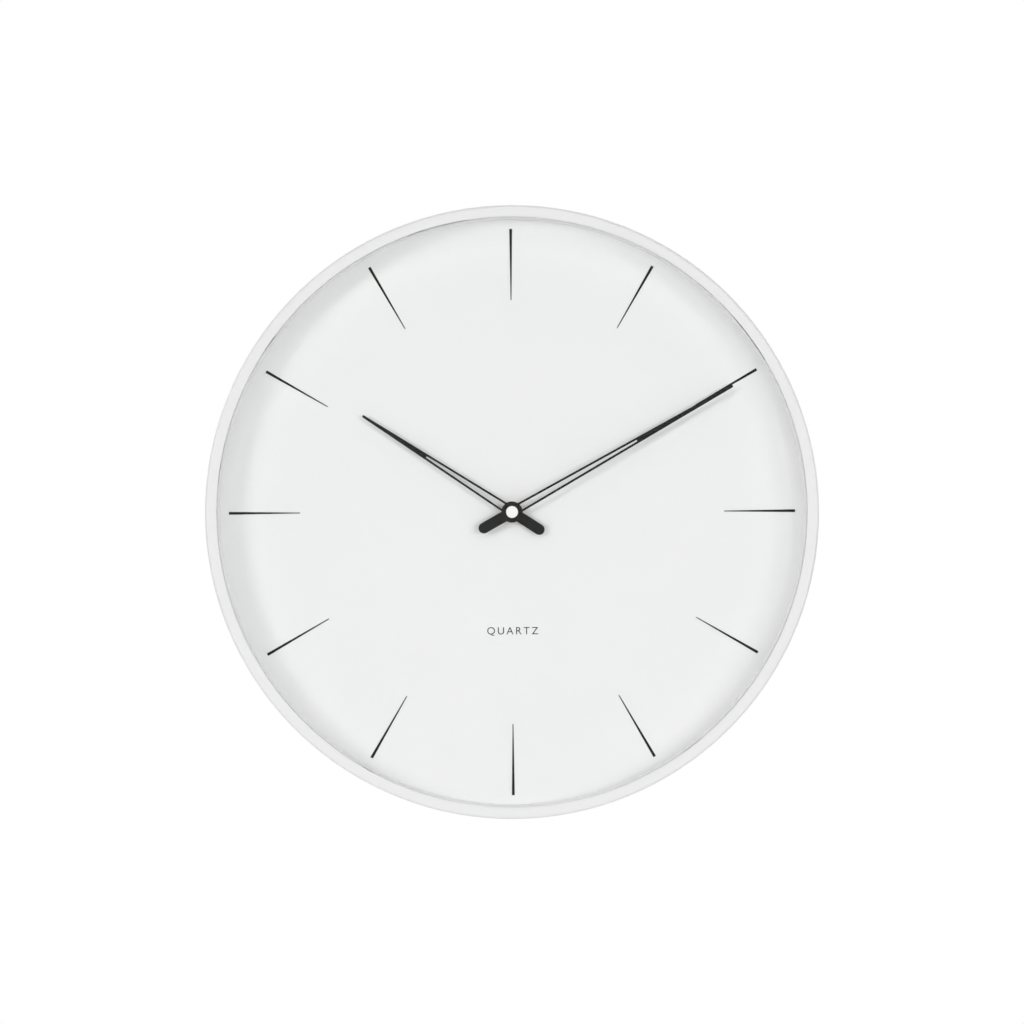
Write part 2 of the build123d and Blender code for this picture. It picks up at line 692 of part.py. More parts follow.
def make_mounting_bush():
    """Brass bush whose flange fills the hole in the housing's front wall."""
    bush = turned(
        [
            (BUSH_BORE, CAVITY_FRONT),
            (BUSH_FLANGE_RADIUS, CAVITY_FRONT),
            (BUSH_FLANGE_RADIUS, MOVEMENT_FRONT),
            (BUSH_RADIUS, MOVEMENT_FRONT),
            (BUSH_RADIUS, BUSH_FRONT),
            (BUSH_BORE, BUSH_FRONT),
        ]
    )
    return chamfer(circles(bush, BUSH_RADIUS, BUSH_FRONT), BUSH_CHAMFER)


def make_rubber_washer():
    return ring(RUBBER_RADIUS, BUSH_RADIUS, MOVEMENT_FRONT, BOARD_BACK)


def make_dial_washer():
    return ring(DIAL_WASHER_RADIUS, BUSH_RADIUS, DIAL_FRONT, NUT_BACK)


def make_hex_nut():
    """Thin brass nut with turned corners."""
    corner_radius = NUT_ACROSS_FLATS / 2 / cos(pi / 6)
    nut_front = NUT_BACK + NUT_HEIGHT
    prism = extrude(RegularPolygon(corner_radius, 6), NUT_HEIGHT)
    nut = Pos(0, 0, NUT_BACK) * prism
    cone = disc(corner_radius, NUT_BACK, nut_front)
    nut &= chamfer(circles(cone, corner_radius, nut_front), NUT_CHAMFER)
    return nut - hole(BUSH_RADIUS, NUT_BACK, nut_front)


# ---- Movement: shafts, motion work and hands ----


def make_minute_arbor():
    """Hollow steel shaft of the minute hand, with its pinion; the centre wheel slips on it."""
    back = layer_back(2) - PIN_END_GAP
    tooth_at = 90.0
    arbor = disc(ARBOR_RADIUS, back, ARBOR_FRONT)
    arbor += gear(CANNON_TEETH, MOTION_MODULE, 1, CENTRE_POST, tooth_at)
    return arbor - disc(ARBOR_BORE, back - CUT, SECONDS_SHAFT_FRONT + CUT)


def make_hour_wheel():
    """Hour wheel moulded in one with the tube that carries the hour hand."""
    wheel = gear(HOUR_WHEEL_TEETH, MOTION_MODULE, 0, CENTRE_POST, gap_at(HOUR_WHEEL_TEETH, 90.0))
    wheel += disc(TUBE_RADIUS, layer_back(0), TUBE_FRONT)
    return wheel - hole(TUBE_BORE, layer_back(0), TUBE_FRONT)


def make_minute_wheel():
    """Wheel and pinion between the minute arbor and the hour wheel; its pin ends in the knob."""
    toward_centre = -90.0
    wheel = gear(
        MINUTE_WHEEL_TEETH, MOTION_MODULE, 1, MINUTE_POST, gap_at(MINUTE_WHEEL_TEETH, toward_centre)
    )
    wheel += gear(MINUTE_PINION_TEETH, MOTION_MODULE, 0, MINUTE_POST, toward_centre)
    pinion_root = MOTION_MODULE * (MINUTE_PINION_TEETH / 2 - DEDENDUM)
    wheel += disc(pinion_root, layer_back(1), layer_front(0), MINUTE_POST)
    wheel += disc(PIN_RADIUS, knob_front(), CAVITY_FRONT - PIN_END_GAP, MINUTE_POST)
    return wheel + disc(PIVOT_RADIUS, layer_front(0), CAVITY_FRONT + PIVOT_LENGTH, MINUTE_POST)


def knob_front():
    """Front face of the knob's grip, which faces the back cover."""
    return WALL_GAP - KNOB_COVER_GAP


def make_setting_knob():
    """Grooved knob behind the back cover that sets the hands."""
    back = knob_front() - KNOB_THICKNESS
    grip = disc(KNOB_RADIUS, back, knob_front())
    groove = hole(KNOB_GROOVE_RADIUS, back, knob_front(), (KNOB_RADIUS, 0.0))
    for i in range(KNOB_GROOVES):
        grip -= Rot(0, 0, i * FULL_TURN / KNOB_GROOVES) * groove
    knob = Pos(MINUTE_POST[0], MINUTE_POST[1], 0) * grip
    stem_front = BRIDGE_BACK - BRIDGE_COVER_GAP / 2
    knob += disc(KNOB_STEM_RADIUS, knob_front(), stem_front, MINUTE_POST)
    return knob - disc(PIN_RADIUS, knob_front(), stem_front + CUT, MINUTE_POST)


def hand(reach, root_half, tip_half, tip_rounding, slot_end, bar, bore):
    """A pierced tapering hand that points to 12 o'clock, with a boss and a rounded tail."""
    blade = Polygon(
        (-root_half, 0), (root_half, 0), (tip_half, reach), (-tip_half, reach), align=None
    )
    blade = fillet(blade.vertices().sort_by(Axis.Y)[-2:], tip_rounding)
    tail_half = HAND_TAIL_WIDTH / 2
    tail_end = tail_half - HAND_TAIL_LENGTH
    tail = Polygon(
        (-tail_half, tail_end), (tail_half, tail_end), (tail_half, 0), (-tail_half, 0), align=None
    )
    tail += Pos(0, tail_end) * Circle(tail_half)
    narrowing = (root_half - tip_half) / reach
    slot_start = HAND_BOSS_RADIUS / 2
    start_half = root_half - bar - narrowing * slot_start
    end_half = root_half - bar - narrowing * slot_end
    slot = Polygon(
        (-start_half, slot_start),
        (start_half, slot_start),
        (end_half, slot_end),
        (-end_half, slot_end),
        align=None,
    )
    outline = blade + tail - slot + Circle(HAND_BOSS_RADIUS) - Circle(bore)
    return extrude(outline, HAND_THICKNESS)


def collet(bore, hand_back):
    """Brass collet pressed on a shaft; the hand is riveted to its neck."""
    neck = bore + COLLET_NECK
    flange = bore + COLLET_WALL
    back = hand_back - COLLET_DROP
    front = hand_back + HAND_THICKNESS
    return turned(
        [
            (bore, back),
            (flange, back),
            (flange, hand_back),
            (neck, hand_back),
            (neck, front),
            (flange, front),
            (flange, front + COLLET_RIVET),
            (bore, front + COLLET_RIVET),
        ]
    )


def make_minute_hand():
    reach = OPENING_RADIUS - MINUTE_TIP_MARGIN
    blade = hand(
        reach,
        MINUTE_ROOT_HALF,
        MINUTE_TIP_HALF,
        MINUTE_TIP_ROUNDING,
        MINUTE_SLOT_END,
        MINUTE_BAR,
        ARBOR_RADIUS + COLLET_NECK,
    )
    return Pos(0, 0, MINUTE_HAND_BACK) * Rot(0, 0, -MINUTE_ANGLE) * blade


def make_minute_hand_collet():
    return collet(ARBOR_RADIUS, MINUTE_HAND_BACK)


def make_hour_hand():
    reach = OPENING_RADIUS - HOUR_TIP_MARGIN
    blade = hand(
        reach,
        HOUR_ROOT_HALF,
        HOUR_TIP_HALF,
        HOUR_TIP_ROUNDING,
        HOUR_SLOT_END,
        HOUR_BAR,
        TUBE_RADIUS + COLLET_NECK,
    )
    return Pos(0, 0, HOUR_HAND_BACK) * Rot(0, 0, -HOUR_ANGLE) * blade


def make_hour_hand_collet():
    return collet(TUBE_RADIUS, HOUR_HAND_BACK)


def make_centre_cap():
    """White button pressed on the end of the minute arbor."""
    front = MINUTE_HAND_FRONT + CAP_HEIGHT
    cap = disc(CAP_RADIUS, MINUTE_HAND_FRONT, front)
    cap = fillet(circles(cap, CAP_RADIUS, front), CAP_ROUNDING)
    cap -= disc(ARBOR_RADIUS, MINUTE_HAND_FRONT - CUT, ARBOR_FRONT)
    rivet_radius = ARBOR_RADIUS + COLLET_WALL + CAP_RIVET_PLAY
    rivet_front = MINUTE_HAND_FRONT + COLLET_RIVET + CAP_RIVET_PLAY
    return cap - disc(rivet_radius, MINUTE_HAND_FRONT - CUT, rivet_front)


# ---- Movement: gear train from the motor to the minute arbor ----


def make_centre_wheel():
    """Wheel that grips the minute arbor and slips on it when the hands are set."""
    wheel = gear(CENTRE_TEETH, CENTRE_MODULE, 2, CENTRE_POST, gap_at(CENTRE_TEETH, THIRD_DIRECTION))
    return wheel - hole(ARBOR_RADIUS + CLUTCH_PLAY, layer_back(2), layer_front(2))


def wheel_and_pinion(teeth, module, layer, pinion_teeth, pinion_module, post, phases):
    """A large gear with a small one on the layer in front of it, and the hub between them."""
    body = gear(teeth, module, layer, post, phases[0])
    body += gear(pinion_teeth, pinion_module, layer - 1, post, phases[1])
    hub = pinion_module * (pinion_teeth / 2 - DEDENDUM)
    return body + disc(hub, layer_back(layer), layer_front(layer - 1), post)


def make_third_wheel():
    toward_centre = THIRD_DIRECTION + 180.0
    phases = (gap_at(THIRD_TEETH, toward_centre), toward_centre)
    wheel = wheel_and_pinion(
        THIRD_TEETH, THIRD_MODULE, 3, THIRD_PINION_TEETH, CENTRE_MODULE, THIRD_POST, phases
    )
    return wheel + pinned(THIRD_POST, BRIDGE_FRONT, CAVITY_FRONT)


def make_seconds_wheel():
    """Wheel that turns once a minute; its shaft runs inside the minute arbor."""
    phases = (gap_at(SECONDS_TEETH, INTERMEDIATE_DIRECTION), THIRD_DIRECTION)
    wheel = wheel_and_pinion(
        SECONDS_TEETH, SECONDS_MODULE, 4, SECONDS_PINION_TEETH, THIRD_MODULE, CENTRE_POST, phases
    )
    wheel += disc(SECONDS_SHAFT_RADIUS, layer_front(4), SECONDS_SHAFT_FRONT)
    wheel += disc(PIN_RADIUS, BRIDGE_FRONT + PIN_END_GAP, layer_front(4))
    return wheel + disc(PIVOT_RADIUS, BRIDGE_FRONT - PIVOT_LENGTH, layer_front(4))


def make_intermediate_wheel():
    toward_seconds = INTERMEDIATE_DIRECTION + 180.0
    phases = (gap_at(INTERMEDIATE_TEETH, ROTOR_DIRECTION), toward_seconds)
    wheel = wheel_and_pinion(
        INTERMEDIATE_TEETH,
        ROTOR_MODULE,
        5,
        INTERMEDIATE_PINION_TEETH,
        SECONDS_MODULE,
        INTERMEDIATE_POST,
        phases,
    )
    return wheel + pinned(INTERMEDIATE_POST, BRIDGE_FRONT, CAVITY_FRONT)


def make_rotor_pinion():
    """Rotor's plastic spindle with its pinion."""
    back_layer = GEAR_LAYERS - 1
    toward_intermediate = ROTOR_DIRECTION + 180.0
    body = gear(ROTOR_PINION_TEETH, ROTOR_MODULE, back_layer, ROTOR_POST, toward_intermediate)
    body += disc(ROTOR_HUB_RADIUS, layer_back(back_layer), magnet_back() + MAGNET_HEIGHT, ROTOR_POST)
    return body + pinned(ROTOR_POST, BRIDGE_FRONT, rotor_boss_back())


def make_rotor_magnet():
    front = magnet_back() + MAGNET_HEIGHT
    return ring(MAGNET_RADIUS, ROTOR_HUB_RADIUS, magnet_back(), front, ROTOR_POST)


# ---- Movement: step motor ----


def make_stator():
    """Soft-iron plate round the rotor, with a pad at each end for the coil's core."""
    back = stator_back()
    front = stator_front()
    plate = block(STATOR_LEFT, STATOR_RIGHT, STATOR_LOW, STATOR_HIGH, back, front)
    low_pad = STATOR_LOW + STATOR_PAD
    high_pad = STATOR_HIGH - STATOR_PAD
    plate += block(STATOR_LEFT, STATOR_PAD_RIGHT, STATOR_LOW, low_pad, back, front)
    plate += block(STATOR_LEFT, STATOR_PAD_RIGHT, high_pad, STATOR_HIGH, back, front)
    gap_radius = MAGNET_RADIUS + ROTOR_AIR_GAP
    plate -= hole(gap_radius, back, front, ROTOR_POST)
    for side in (-1, 1):
        notch = (ROTOR_POST[0], ROTOR_POST[1] + side * gap_radius)
        plate -= hole(STATOR_NECK_RADIUS, back, front, notch)
    plate -= hole(PIN_RADIUS + ROTOR_AIR_GAP, back, front, INTERMEDIATE_POST)
    for point in PILLARS[:2]:
        plate -= hole(PILLAR_RADIUS, back, front, point)
    return plate


def make_coil_core():
    """Soft-iron strip through the coil, with a lug at each end on the stator's pad."""
    back = stator_front()
    front = back + LAMINATION
    left = COIL_X - COIL_CORE_WIDTH / 2
    right = COIL_X + COIL_CORE_WIDTH / 2
    core = block(left, right, STATOR_LOW, STATOR_HIGH, back, front)
    core += block(COIL_LUG_LEFT, right, STATOR_LOW, STATOR_LOW + STATOR_PAD, back, front)
    core += block(COIL_LUG_LEFT, right, STATOR_HIGH - STATOR_PAD, STATOR_HIGH, back, front)
    for point in PILLARS[:2]:
        core -= hole(PILLAR_RADIUS, back, front, point)
    return core


def along_coil(radius, low, high):
    """A round bar on the coil's axis, which runs along Y."""
    middle = stator_front() + LAMINATION / 2
    return Pos(COIL_X, low, middle) * Rot(-90, 0, 0) * Cylinder(radius, high - low, align=BASE)


def coil_ends():
    """Outer faces of the bobbin's two flanges."""
    low = STATOR_LOW + STATOR_PAD + BOBBIN_PAD_GAP
    high = STATOR_HIGH - STATOR_PAD - BOBBIN_PAD_GAP
    return low, high


def bobbin_sleeve():
    low, high = coil_ends()
    half = COIL_CORE_WIDTH / 2 + BOBBIN_WALL
    back = stator_front() - BOBBIN_WALL
    front = stator_front() + LAMINATION + BOBBIN_WALL
    return block(COIL_X - half, COIL_X + half, low, high, back, front)


def make_coil_bobbin():
    """Moulded sleeve with a square flange at each end."""
    low, high = coil_ends()
    middle = stator_front() + LAMINATION / 2
    bobbin = bobbin_sleeve()
    for start in (low, high - BOBBIN_FLANGE):
        bobbin += block(
            COIL_X - BOBBIN_HALF,
            COIL_X + BOBBIN_HALF,
            start,
            start + BOBBIN_FLANGE,
            middle - BOBBIN_HALF,
            middle + BOBBIN_HALF,
        )
    half = COIL_CORE_WIDTH / 2
    core_room = block(
        COIL_X - half, COIL_X + half, low - CUT, high + CUT, stator_front(), stator_front() + LAMINATION
    )
    return bobbin - core_room


def make_coil_winding():
    """Copper wire, as one round bundle between the flanges."""
    low, high = coil_ends()
    return along_coil(COIL_RADIUS, low + BOBBIN_FLANGE, high - BOBBIN_FLANGE) - bobbin_sleeve()


# ---- Movement: electronics and cell ----


def make_circuit_board():
    high = CAVITY_SIDE - CIRCUIT_MARGIN
    back = circuit_front() - CIRCUIT_THICKNESS
    return block(CIRCUIT_LEFT, CIRCUIT_RIGHT, CIRCUIT_LOW, high, back, circuit_front())


def make_chip_cover():
    """Drop of black resin over the clock's chip."""
    back = circuit_front() - CIRCUIT_THICKNESS
    drop = disc(CHIP_RADIUS, back - CHIP_HEIGHT, back, (CHIP_X, circuit_middle_y()))
    rim = drop.edges().filter_by(GeomType.CIRCLE).sort_by(Axis.Z)[0]
    return fillet(rim, CHIP_ROUNDING)


def make_quartz_crystal():
    """Small metal can that lies on the circuit board."""
    back = circuit_front() - CIRCUIT_THICKNESS
    can = Rot(0, 90, 0) * Cylinder(CRYSTAL_RADIUS, CRYSTAL_LENGTH, align=BASE)
    return Pos(CRYSTAL_X, circuit_middle_y(), back - CRYSTAL_RADIUS) * can


def strip_to_board(board_edge):
    """The right-hand contact's strip along the wall and its tab on the circuit board."""
    inner = CAVITY_SIDE - CONTACT_SHEET
    tab_low = circuit_middle_y() - CONTACT_STRIP / 2
    tab_high = circuit_middle_y() + CONTACT_STRIP / 2
    strip = block(inner, CAVITY_SIDE, CELL_Y, tab_high, strip_back(), strip_front())
    strip += block(inner, CAVITY_SIDE, tab_low, tab_high, circuit_front(), strip_front())
    tab_left = board_edge - CONTACT_TAB
    tab_front = circuit_front() + CONTACT_SHEET
    return strip + block(tab_left, CAVITY_SIDE, tab_low, tab_high, circuit_front(), tab_front)


def contact_plate():
    """The right-hand contact's plate on the end wall of the bay."""
    half = CONTACT_WIDTH / 2
    inner = CAVITY_SIDE - CONTACT_SHEET
    low = CELL_Y - half
    return block(inner, CAVITY_SIDE, low, CELL_Y + half, CELL_Z - half, strip_front())


def make_negative_contact():
    """Tinned strip whose bowed leaf presses on the flat end of the cell."""
    half = CONTACT_WIDTH / 2
    wall = CAVITY_SIDE - CONTACT_SHEET
    peak = CELL_LENGTH / 2 + CONTACT_GAP
    leaf = Polygon(
        (wall, CELL_Y - half),
        (peak, CELL_Y - half / 4),
        (peak, CELL_Y + half / 4),
        (wall, CELL_Y + half),
        (wall, CELL_Y + half - CONTACT_SHEET * 2),
        (peak + CONTACT_SHEET, CELL_Y + half / 4 - CONTACT_SHEET / 2),
        (peak + CONTACT_SHEET, CELL_Y - half / 4 + CONTACT_SHEET / 2),
        (wall, CELL_Y - half + CONTACT_SHEET * 2),
        align=None,
    )
    leaf = Pos(0, 0, CELL_Z - CONTACT_STRIP) * extrude(leaf, 2 * CONTACT_STRIP)
    return contact_plate() + leaf + strip_to_board(CIRCUIT_RIGHT)


def make_positive_contact():
    """Tinned strip whose dimple meets the button of the cell."""
    wall = CAVITY_SIDE - CONTACT_SHEET
    peak = CELL_LENGTH / 2 + CONTACT_GAP
    dimple = Rot(0, 90, 0) * Cylinder(CONTACT_DIMPLE_RADIUS, wall - peak, align=BASE)
    contact = contact_plate() + Pos(peak, CELL_Y, CELL_Z) * dimple + strip_to_board(-CIRCUIT_LEFT)
    return mirror(contact, Plane.YZ)


def make_battery_cell():
    """AA cell with its button to the left."""
    body_length = CELL_LENGTH - CELL_BUTTON_LENGTH
    can = Cylinder(CELL_RADIUS, body_length, align=BASE)
    can = fillet(can.edges().filter_by(GeomType.CIRCLE), CELL_ROUNDING)
    can += Pos(0, 0, body_length - CUT) * Cylinder(
        CELL_BUTTON_RADIUS, CELL_BUTTON_LENGTH + CUT, align=BASE
    )
    return Pos(CELL_LENGTH / 2, CELL_Y, CELL_Z) * Rot(0, -90, 0) * can


# ---- Every piece, stood up with the dial facing -Y ----

PIECES = {
    "case_shell": make_case_shell,
    "glass_lens": make_glass_lens,
    "spacer_ring": make_spacer_ring,
    "dial_plate": make_dial_plate,
    "hour_markers": make_hour_markers,
    "backing_board": make_backing_board,
    "board_brackets": make_board_brackets,
    "board_screws": make_board_screws,
    "hanger_plate": make_hanger_plate,
    "hanger_screws": make_hanger_screws,
    "movement_housing": make_movement_housing,
    "movement_back_cover": make_movement_back_cover,
    "train_bridge": make_train_bridge,
    "mounting_bush": make_mounting_bush,
    "rubber_washer": make_rubber_washer,
    "dial_washer": make_dial_washer,
    "hex_nut": make_hex_nut,
    "minute_arbor": make_minute_arbor,
    "minute_hand_collet": make_minute_hand_collet,
    "minute_hand": make_minute_hand,
    "centre_cap": make_centre_cap,
    "hour_wheel": make_hour_wheel,
    "hour_hand_collet": make_hour_hand_collet,
    "hour_hand": make_hour_hand,
    "minute_wheel": make_minute_wheel,
    "setting_knob": make_setting_knob,
    "centre_wheel": make_centre_wheel,
    "third_wheel": make_third_wheel,
    "seconds_wheel": make_seconds_wheel,
    "intermediate_wheel": make_intermediate_wheel,
    "rotor_pinion": make_rotor_pinion,
    "rotor_magnet": make_rotor_magnet,
    "stator": make_stator,
    "coil_core": make_coil_core,
    "coil_bobbin": make_coil_bobbin,
    "coil_winding": make_coil_winding,
    "circuit_board": make_circuit_board,
    "chip_cover": make_chip_cover,
    "quartz_crystal": make_quartz_crystal,
    "positive_contact": make_positive_contact,
    "negative_contact": make_negative_contact,
    "battery_cell": make_battery_cell,
}

os.makedirs("parts", exist_ok=True)
for name, make in PIECES.items():
    export_step(Rot(90, 0, 0) * make(), f"parts/{name}.step")
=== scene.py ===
import math

import bmesh
import bpy
from mathutils import Color, Matrix, Vector


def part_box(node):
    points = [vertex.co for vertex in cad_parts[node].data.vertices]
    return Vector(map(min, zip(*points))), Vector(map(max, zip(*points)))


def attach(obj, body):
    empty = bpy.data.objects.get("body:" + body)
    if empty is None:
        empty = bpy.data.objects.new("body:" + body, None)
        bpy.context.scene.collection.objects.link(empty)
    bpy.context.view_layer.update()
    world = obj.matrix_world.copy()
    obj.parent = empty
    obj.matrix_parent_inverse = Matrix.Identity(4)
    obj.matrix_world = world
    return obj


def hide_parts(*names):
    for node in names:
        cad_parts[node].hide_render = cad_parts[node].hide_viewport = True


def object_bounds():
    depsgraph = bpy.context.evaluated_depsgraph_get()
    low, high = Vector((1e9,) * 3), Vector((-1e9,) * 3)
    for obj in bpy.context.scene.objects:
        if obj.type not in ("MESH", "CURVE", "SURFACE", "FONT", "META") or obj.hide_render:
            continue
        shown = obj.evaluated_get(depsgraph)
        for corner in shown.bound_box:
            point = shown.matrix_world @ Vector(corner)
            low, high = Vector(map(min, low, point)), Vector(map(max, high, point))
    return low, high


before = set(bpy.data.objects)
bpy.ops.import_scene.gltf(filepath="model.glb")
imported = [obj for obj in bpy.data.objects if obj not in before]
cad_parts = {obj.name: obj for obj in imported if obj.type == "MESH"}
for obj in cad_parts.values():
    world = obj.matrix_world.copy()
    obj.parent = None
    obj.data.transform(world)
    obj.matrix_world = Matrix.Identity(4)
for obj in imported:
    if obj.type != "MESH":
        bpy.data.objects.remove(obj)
cad_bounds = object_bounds()

MM = 0.001


# ---- Drum ----
# The drum is spun from 1.2 mm sheet steel: a flat lip is turned in at the front and the edge is
# folded in at the wall. It is powder-coated in satin white, which flows into a fine orange peel.


class Value:
    """One output of a node. Arithmetic on it adds Math nodes to its graph."""

    def __init__(self, graph, socket):
        self.graph = graph
        self.socket = socket

    def math(self, operation, *terms):
        return self.graph.node("ShaderNodeMath", {"operation": operation}, dict(enumerate(terms)))

    def __add__(self, other):
        return self.math("ADD", self, other)

    def __sub__(self, other):
        return self.math("SUBTRACT", self, other)

    def __rsub__(self, other):
        return self.math("SUBTRACT", other, self)

    def __mul__(self, other):
        return self.math("MULTIPLY", self, other)

    __radd__ = __add__
    __rmul__ = __mul__

    def sine(self):
        return self.math("SINE", self)

    def size(self):
        return self.math("ABSOLUTE", self)

    def over(self, limit, soft):
        """0 well below a limit and 1 well above it, with a soft step this wide between."""
        values = {"Value": self, "From Min": limit - soft / 2, "From Max": limit + soft / 2}
        return self.graph.node("ShaderNodeMapRange", {"interpolation_type": "SMOOTHSTEP"}, values)


class Graph:
    """A node tree that is built one node at a time."""

    def __init__(self, tree):
        self.tree = tree

    def node(self, kind, settings, values, out=0):
        """A node of any kind: its settings first, then the values or links of its sockets."""
        node = self.tree.nodes.new(kind)
        for name, setting in settings.items():
            setattr(node, name, setting)
        for name, value in values.items():
            if isinstance(value, Value):
                self.tree.links.new(value.socket, node.inputs[name])
            else:
                node.inputs[name].default_value = value
        return Value(self, node.outputs[out] if node.outputs else None)


class Finish(Graph):
    """A material whose colour, gloss and relief are worked out by nodes, in metres."""

    def __init__(self, name):
        self.material = bpy.data.materials.new(name)
        self.material.use_nodes = True
        super().__init__(self.material.node_tree)
        self.tree.nodes.clear()

    def place(self, size=(1, 1, 1), centre=(0, 0, 0), turn=(0, 0, 0)):
        """Object coordinates, centred, turned and then measured in steps of this size."""
        here = self.node("ShaderNodeTexCoord", {}, {}, "Object")
        values = {"Vector": here, "Location": centre, "Rotation": turn, "Scale": size}
        return self.node("ShaderNodeMapping", {"vector_type": "TEXTURE"}, values)

    def axes(self, centre=(0, 0, 0)):
        """The three Object coordinates from a centre, in metres."""
        vector = self.place(centre=centre)
        return [self.node("ShaderNodeSeparateXYZ", {}, {"Vector": vector}, i) for i in range(3)]

    def noise(self, size, detail=3.0, turn=(0, 0, 0)):
        """Cloudy noise from 0 to 1, with features this large."""
        if isinstance(size, float):
            size = (size, size, size)
        values = {"Vector": self.place(size, turn=turn), "Scale": 1.0, "Detail": detail}
        return self.node("ShaderNodeTexNoise", {}, values)

    def cells(self, size, out="Distance"):
        """Irregular cells of this size: the distance in each cell, or one colour for each."""
        values = {"Vector": self.place((size, size, size)), "Scale": 1.0}
        return self.node("ShaderNodeTexVoronoi", {}, values, out)

    def mix(self, share, low, high):
        """A colour between two colours."""
        return self.node("ShaderNodeMix", {"data_type": "RGBA"}, {0: share, 6: low, 7: high}, 2)

    def bump(self, height, depth):
        """A normal from a height of 0 to 1 that stands for this depth in metres."""
        return self.node("ShaderNodeBump", {}, {"Height": height, "Distance": depth}, "Normal")

    def surface(self, values):
        """Ends the finish in one Principled shader."""
        shader = self.node("ShaderNodeBsdfPrincipled", {}, values)
        self.node("ShaderNodeOutputMaterial", {}, {"Surface": shader})


def shade(red, green, blue):
    """A linear colour from its display values, 0 to 255."""
    display = Color((red / 255, green / 255, blue / 255))
    return (*display.from_srgb_to_scene_linear(), 1.0)


def coat(finish, *nodes):
    """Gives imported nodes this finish."""
    for name in nodes:
        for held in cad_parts[name].material_slots:
            held.material = finish.material


powder = Finish("white_powder_coat")
peel = powder.noise(1.6 * MM, 2.0)
drift = powder.noise(60 * MM, 2.0)
powder.surface(
    {
        "Base Color": powder.mix(drift, shade(235, 235, 235), shade(239, 239, 239)),
        "Roughness": peel * 0.12 + 0.36,
        "Normal": powder.bump(peel + powder.noise(0.5 * MM) * 0.25, 0.03 * MM),
        "Specular IOR Level": 0.45,
    }
)
coat(powder, "case_shell")


# ---- Brackets and their welds, hanger plate and screws ----
# The brackets and the hanger plate are pressed from sheet steel and zinc-plated, which leaves a
# dull spangle and fine rolling lines. Two spot welds hold each bracket to the drum. The pan-head
# screws are plated brighter.

BRACKETS = 6
BRACKET_FIRST_ANGLE = math.radians(30)
BRACKET_SHEET = 1.2 * MM
WELD_RADIUS = 1.6 * MM
WELD_HEIGHT = 0.25 * MM
WELD_SPACING = 9 * MM
WELD_PLACE = 0.35  # share of the bracket's depth, from its front edge
WELD_STEPS = 20
WELD_SHAPE = ((0, -0.4), (1, -0.4), (0.8, 0.6), (0.4, 0.85), (0.15, 0.6), (0, 0.55))
MERGE_DISTANCE = 0.001 * MM
SHARP_EDGE = math.radians(35)

zinc = Finish("zinc_plated_sheet")
spangle = zinc.node("ShaderNodeSeparateXYZ", {}, {"Vector": zinc.cells(2.2 * MM, "Color")}, 0)
rolling = zinc.noise((6 * MM, 6 * MM, 0.12 * MM), 2.0)
stain = zinc.noise(9 * MM, 4.0).over(0.62, 0.2)
zinc_colour = zinc.mix(spangle, shade(158, 162, 166), shade(186, 189, 191))
zinc.surface(
    {
        "Base Color": zinc.mix(stain * 0.5, zinc_colour, shade(140, 141, 138)),
        "Metallic": 1.0,
        "Roughness": spangle * 0.14 + rolling * 0.1 + stain * 0.12 + 0.26,
        "Normal": zinc.bump(rolling + spangle * 0.3, 0.01 * MM),
    }
)
coat(zinc, "board_brackets", "hanger_plate")

plated = Finish("plated_screw_steel")
tool_marks = plated.noise((0.25 * MM, 2 * MM, 0.25 * MM), 3.0)
plated.surface(
    {
        "Base Color": plated.mix(tool_marks, shade(170, 174, 182), shade(200, 203, 208)),
        "Metallic": 1.0,
        "Roughness": tool_marks * 0.2 + 0.2,
        "Normal": plated.bump(tool_marks, 0.01 * MM),
    }
)
coat(plated, "board_screws", "hanger_screws")


def linked(name, mesh):
    """A new object of this mesh, at the origin."""
    piece = bpy.data.objects.new(name, mesh)
    bpy.context.scene.collection.objects.link(piece)
    return piece


def keep(piece, finish, slot, body, *replaced):
    """Finishes a new piece: its material, its body and the nodes that it stands for. The slot is
    not used.
    """
    piece.data.materials.clear()
    piece.data.materials.append(finish.material)
    piece.data.shade_smooth()
    piece.data.set_sharp_from_angle(angle=SHARP_EDGE)
    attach(piece, body)
    if replaced:
        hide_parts(*replaced)


def formed(name, *shapes):
    """One mesh of these bmeshes, with their doubles merged and their faces outwards."""
    data = bpy.data.meshes.new(name)
    whole = bmesh.new()
    for shape in shapes:
        shape.to_mesh(data)
        shape.free()
        whole.from_mesh(data)
    bmesh.ops.remove_doubles(whole, verts=whole.verts, dist=MERGE_DISTANCE)
    bmesh.ops.recalc_face_normals(whole, faces=whole.faces)
    whole.to_mesh(data)
    whole.free()
    return data


def built(name, *shapes):
    """An object of these bmeshes."""
    return linked(name, formed(name, *shapes))


def plain_mesh(holder):
    """The evaluated mesh of an object, which is then removed."""
    graph = bpy.context.evaluated_depsgraph_get()
    mesh = bpy.data.meshes.new_from_object(holder.evaluated_get(graph))
    bpy.data.objects.remove(holder)
    return mesh


def lathe(outline, steps):
    """A closed round shape about Z from (radius, height) points that start and end on the axis."""
    mesh = bmesh.new()
    corners = [mesh.verts.new((radius, 0, height)) for radius, height in outline]
    edges = [mesh.edges.new(pair) for pair in zip(corners, corners[1:])]
    full_turn = {"axis": (0, 0, 1), "angle": math.tau, "steps": steps, "use_merge": True}
    bmesh.ops.spin(mesh, geom=corners + edges, **full_turn)
    bmesh.ops.remove_doubles(mesh, verts=mesh.verts, dist=MERGE_DISTANCE)
    return mesh


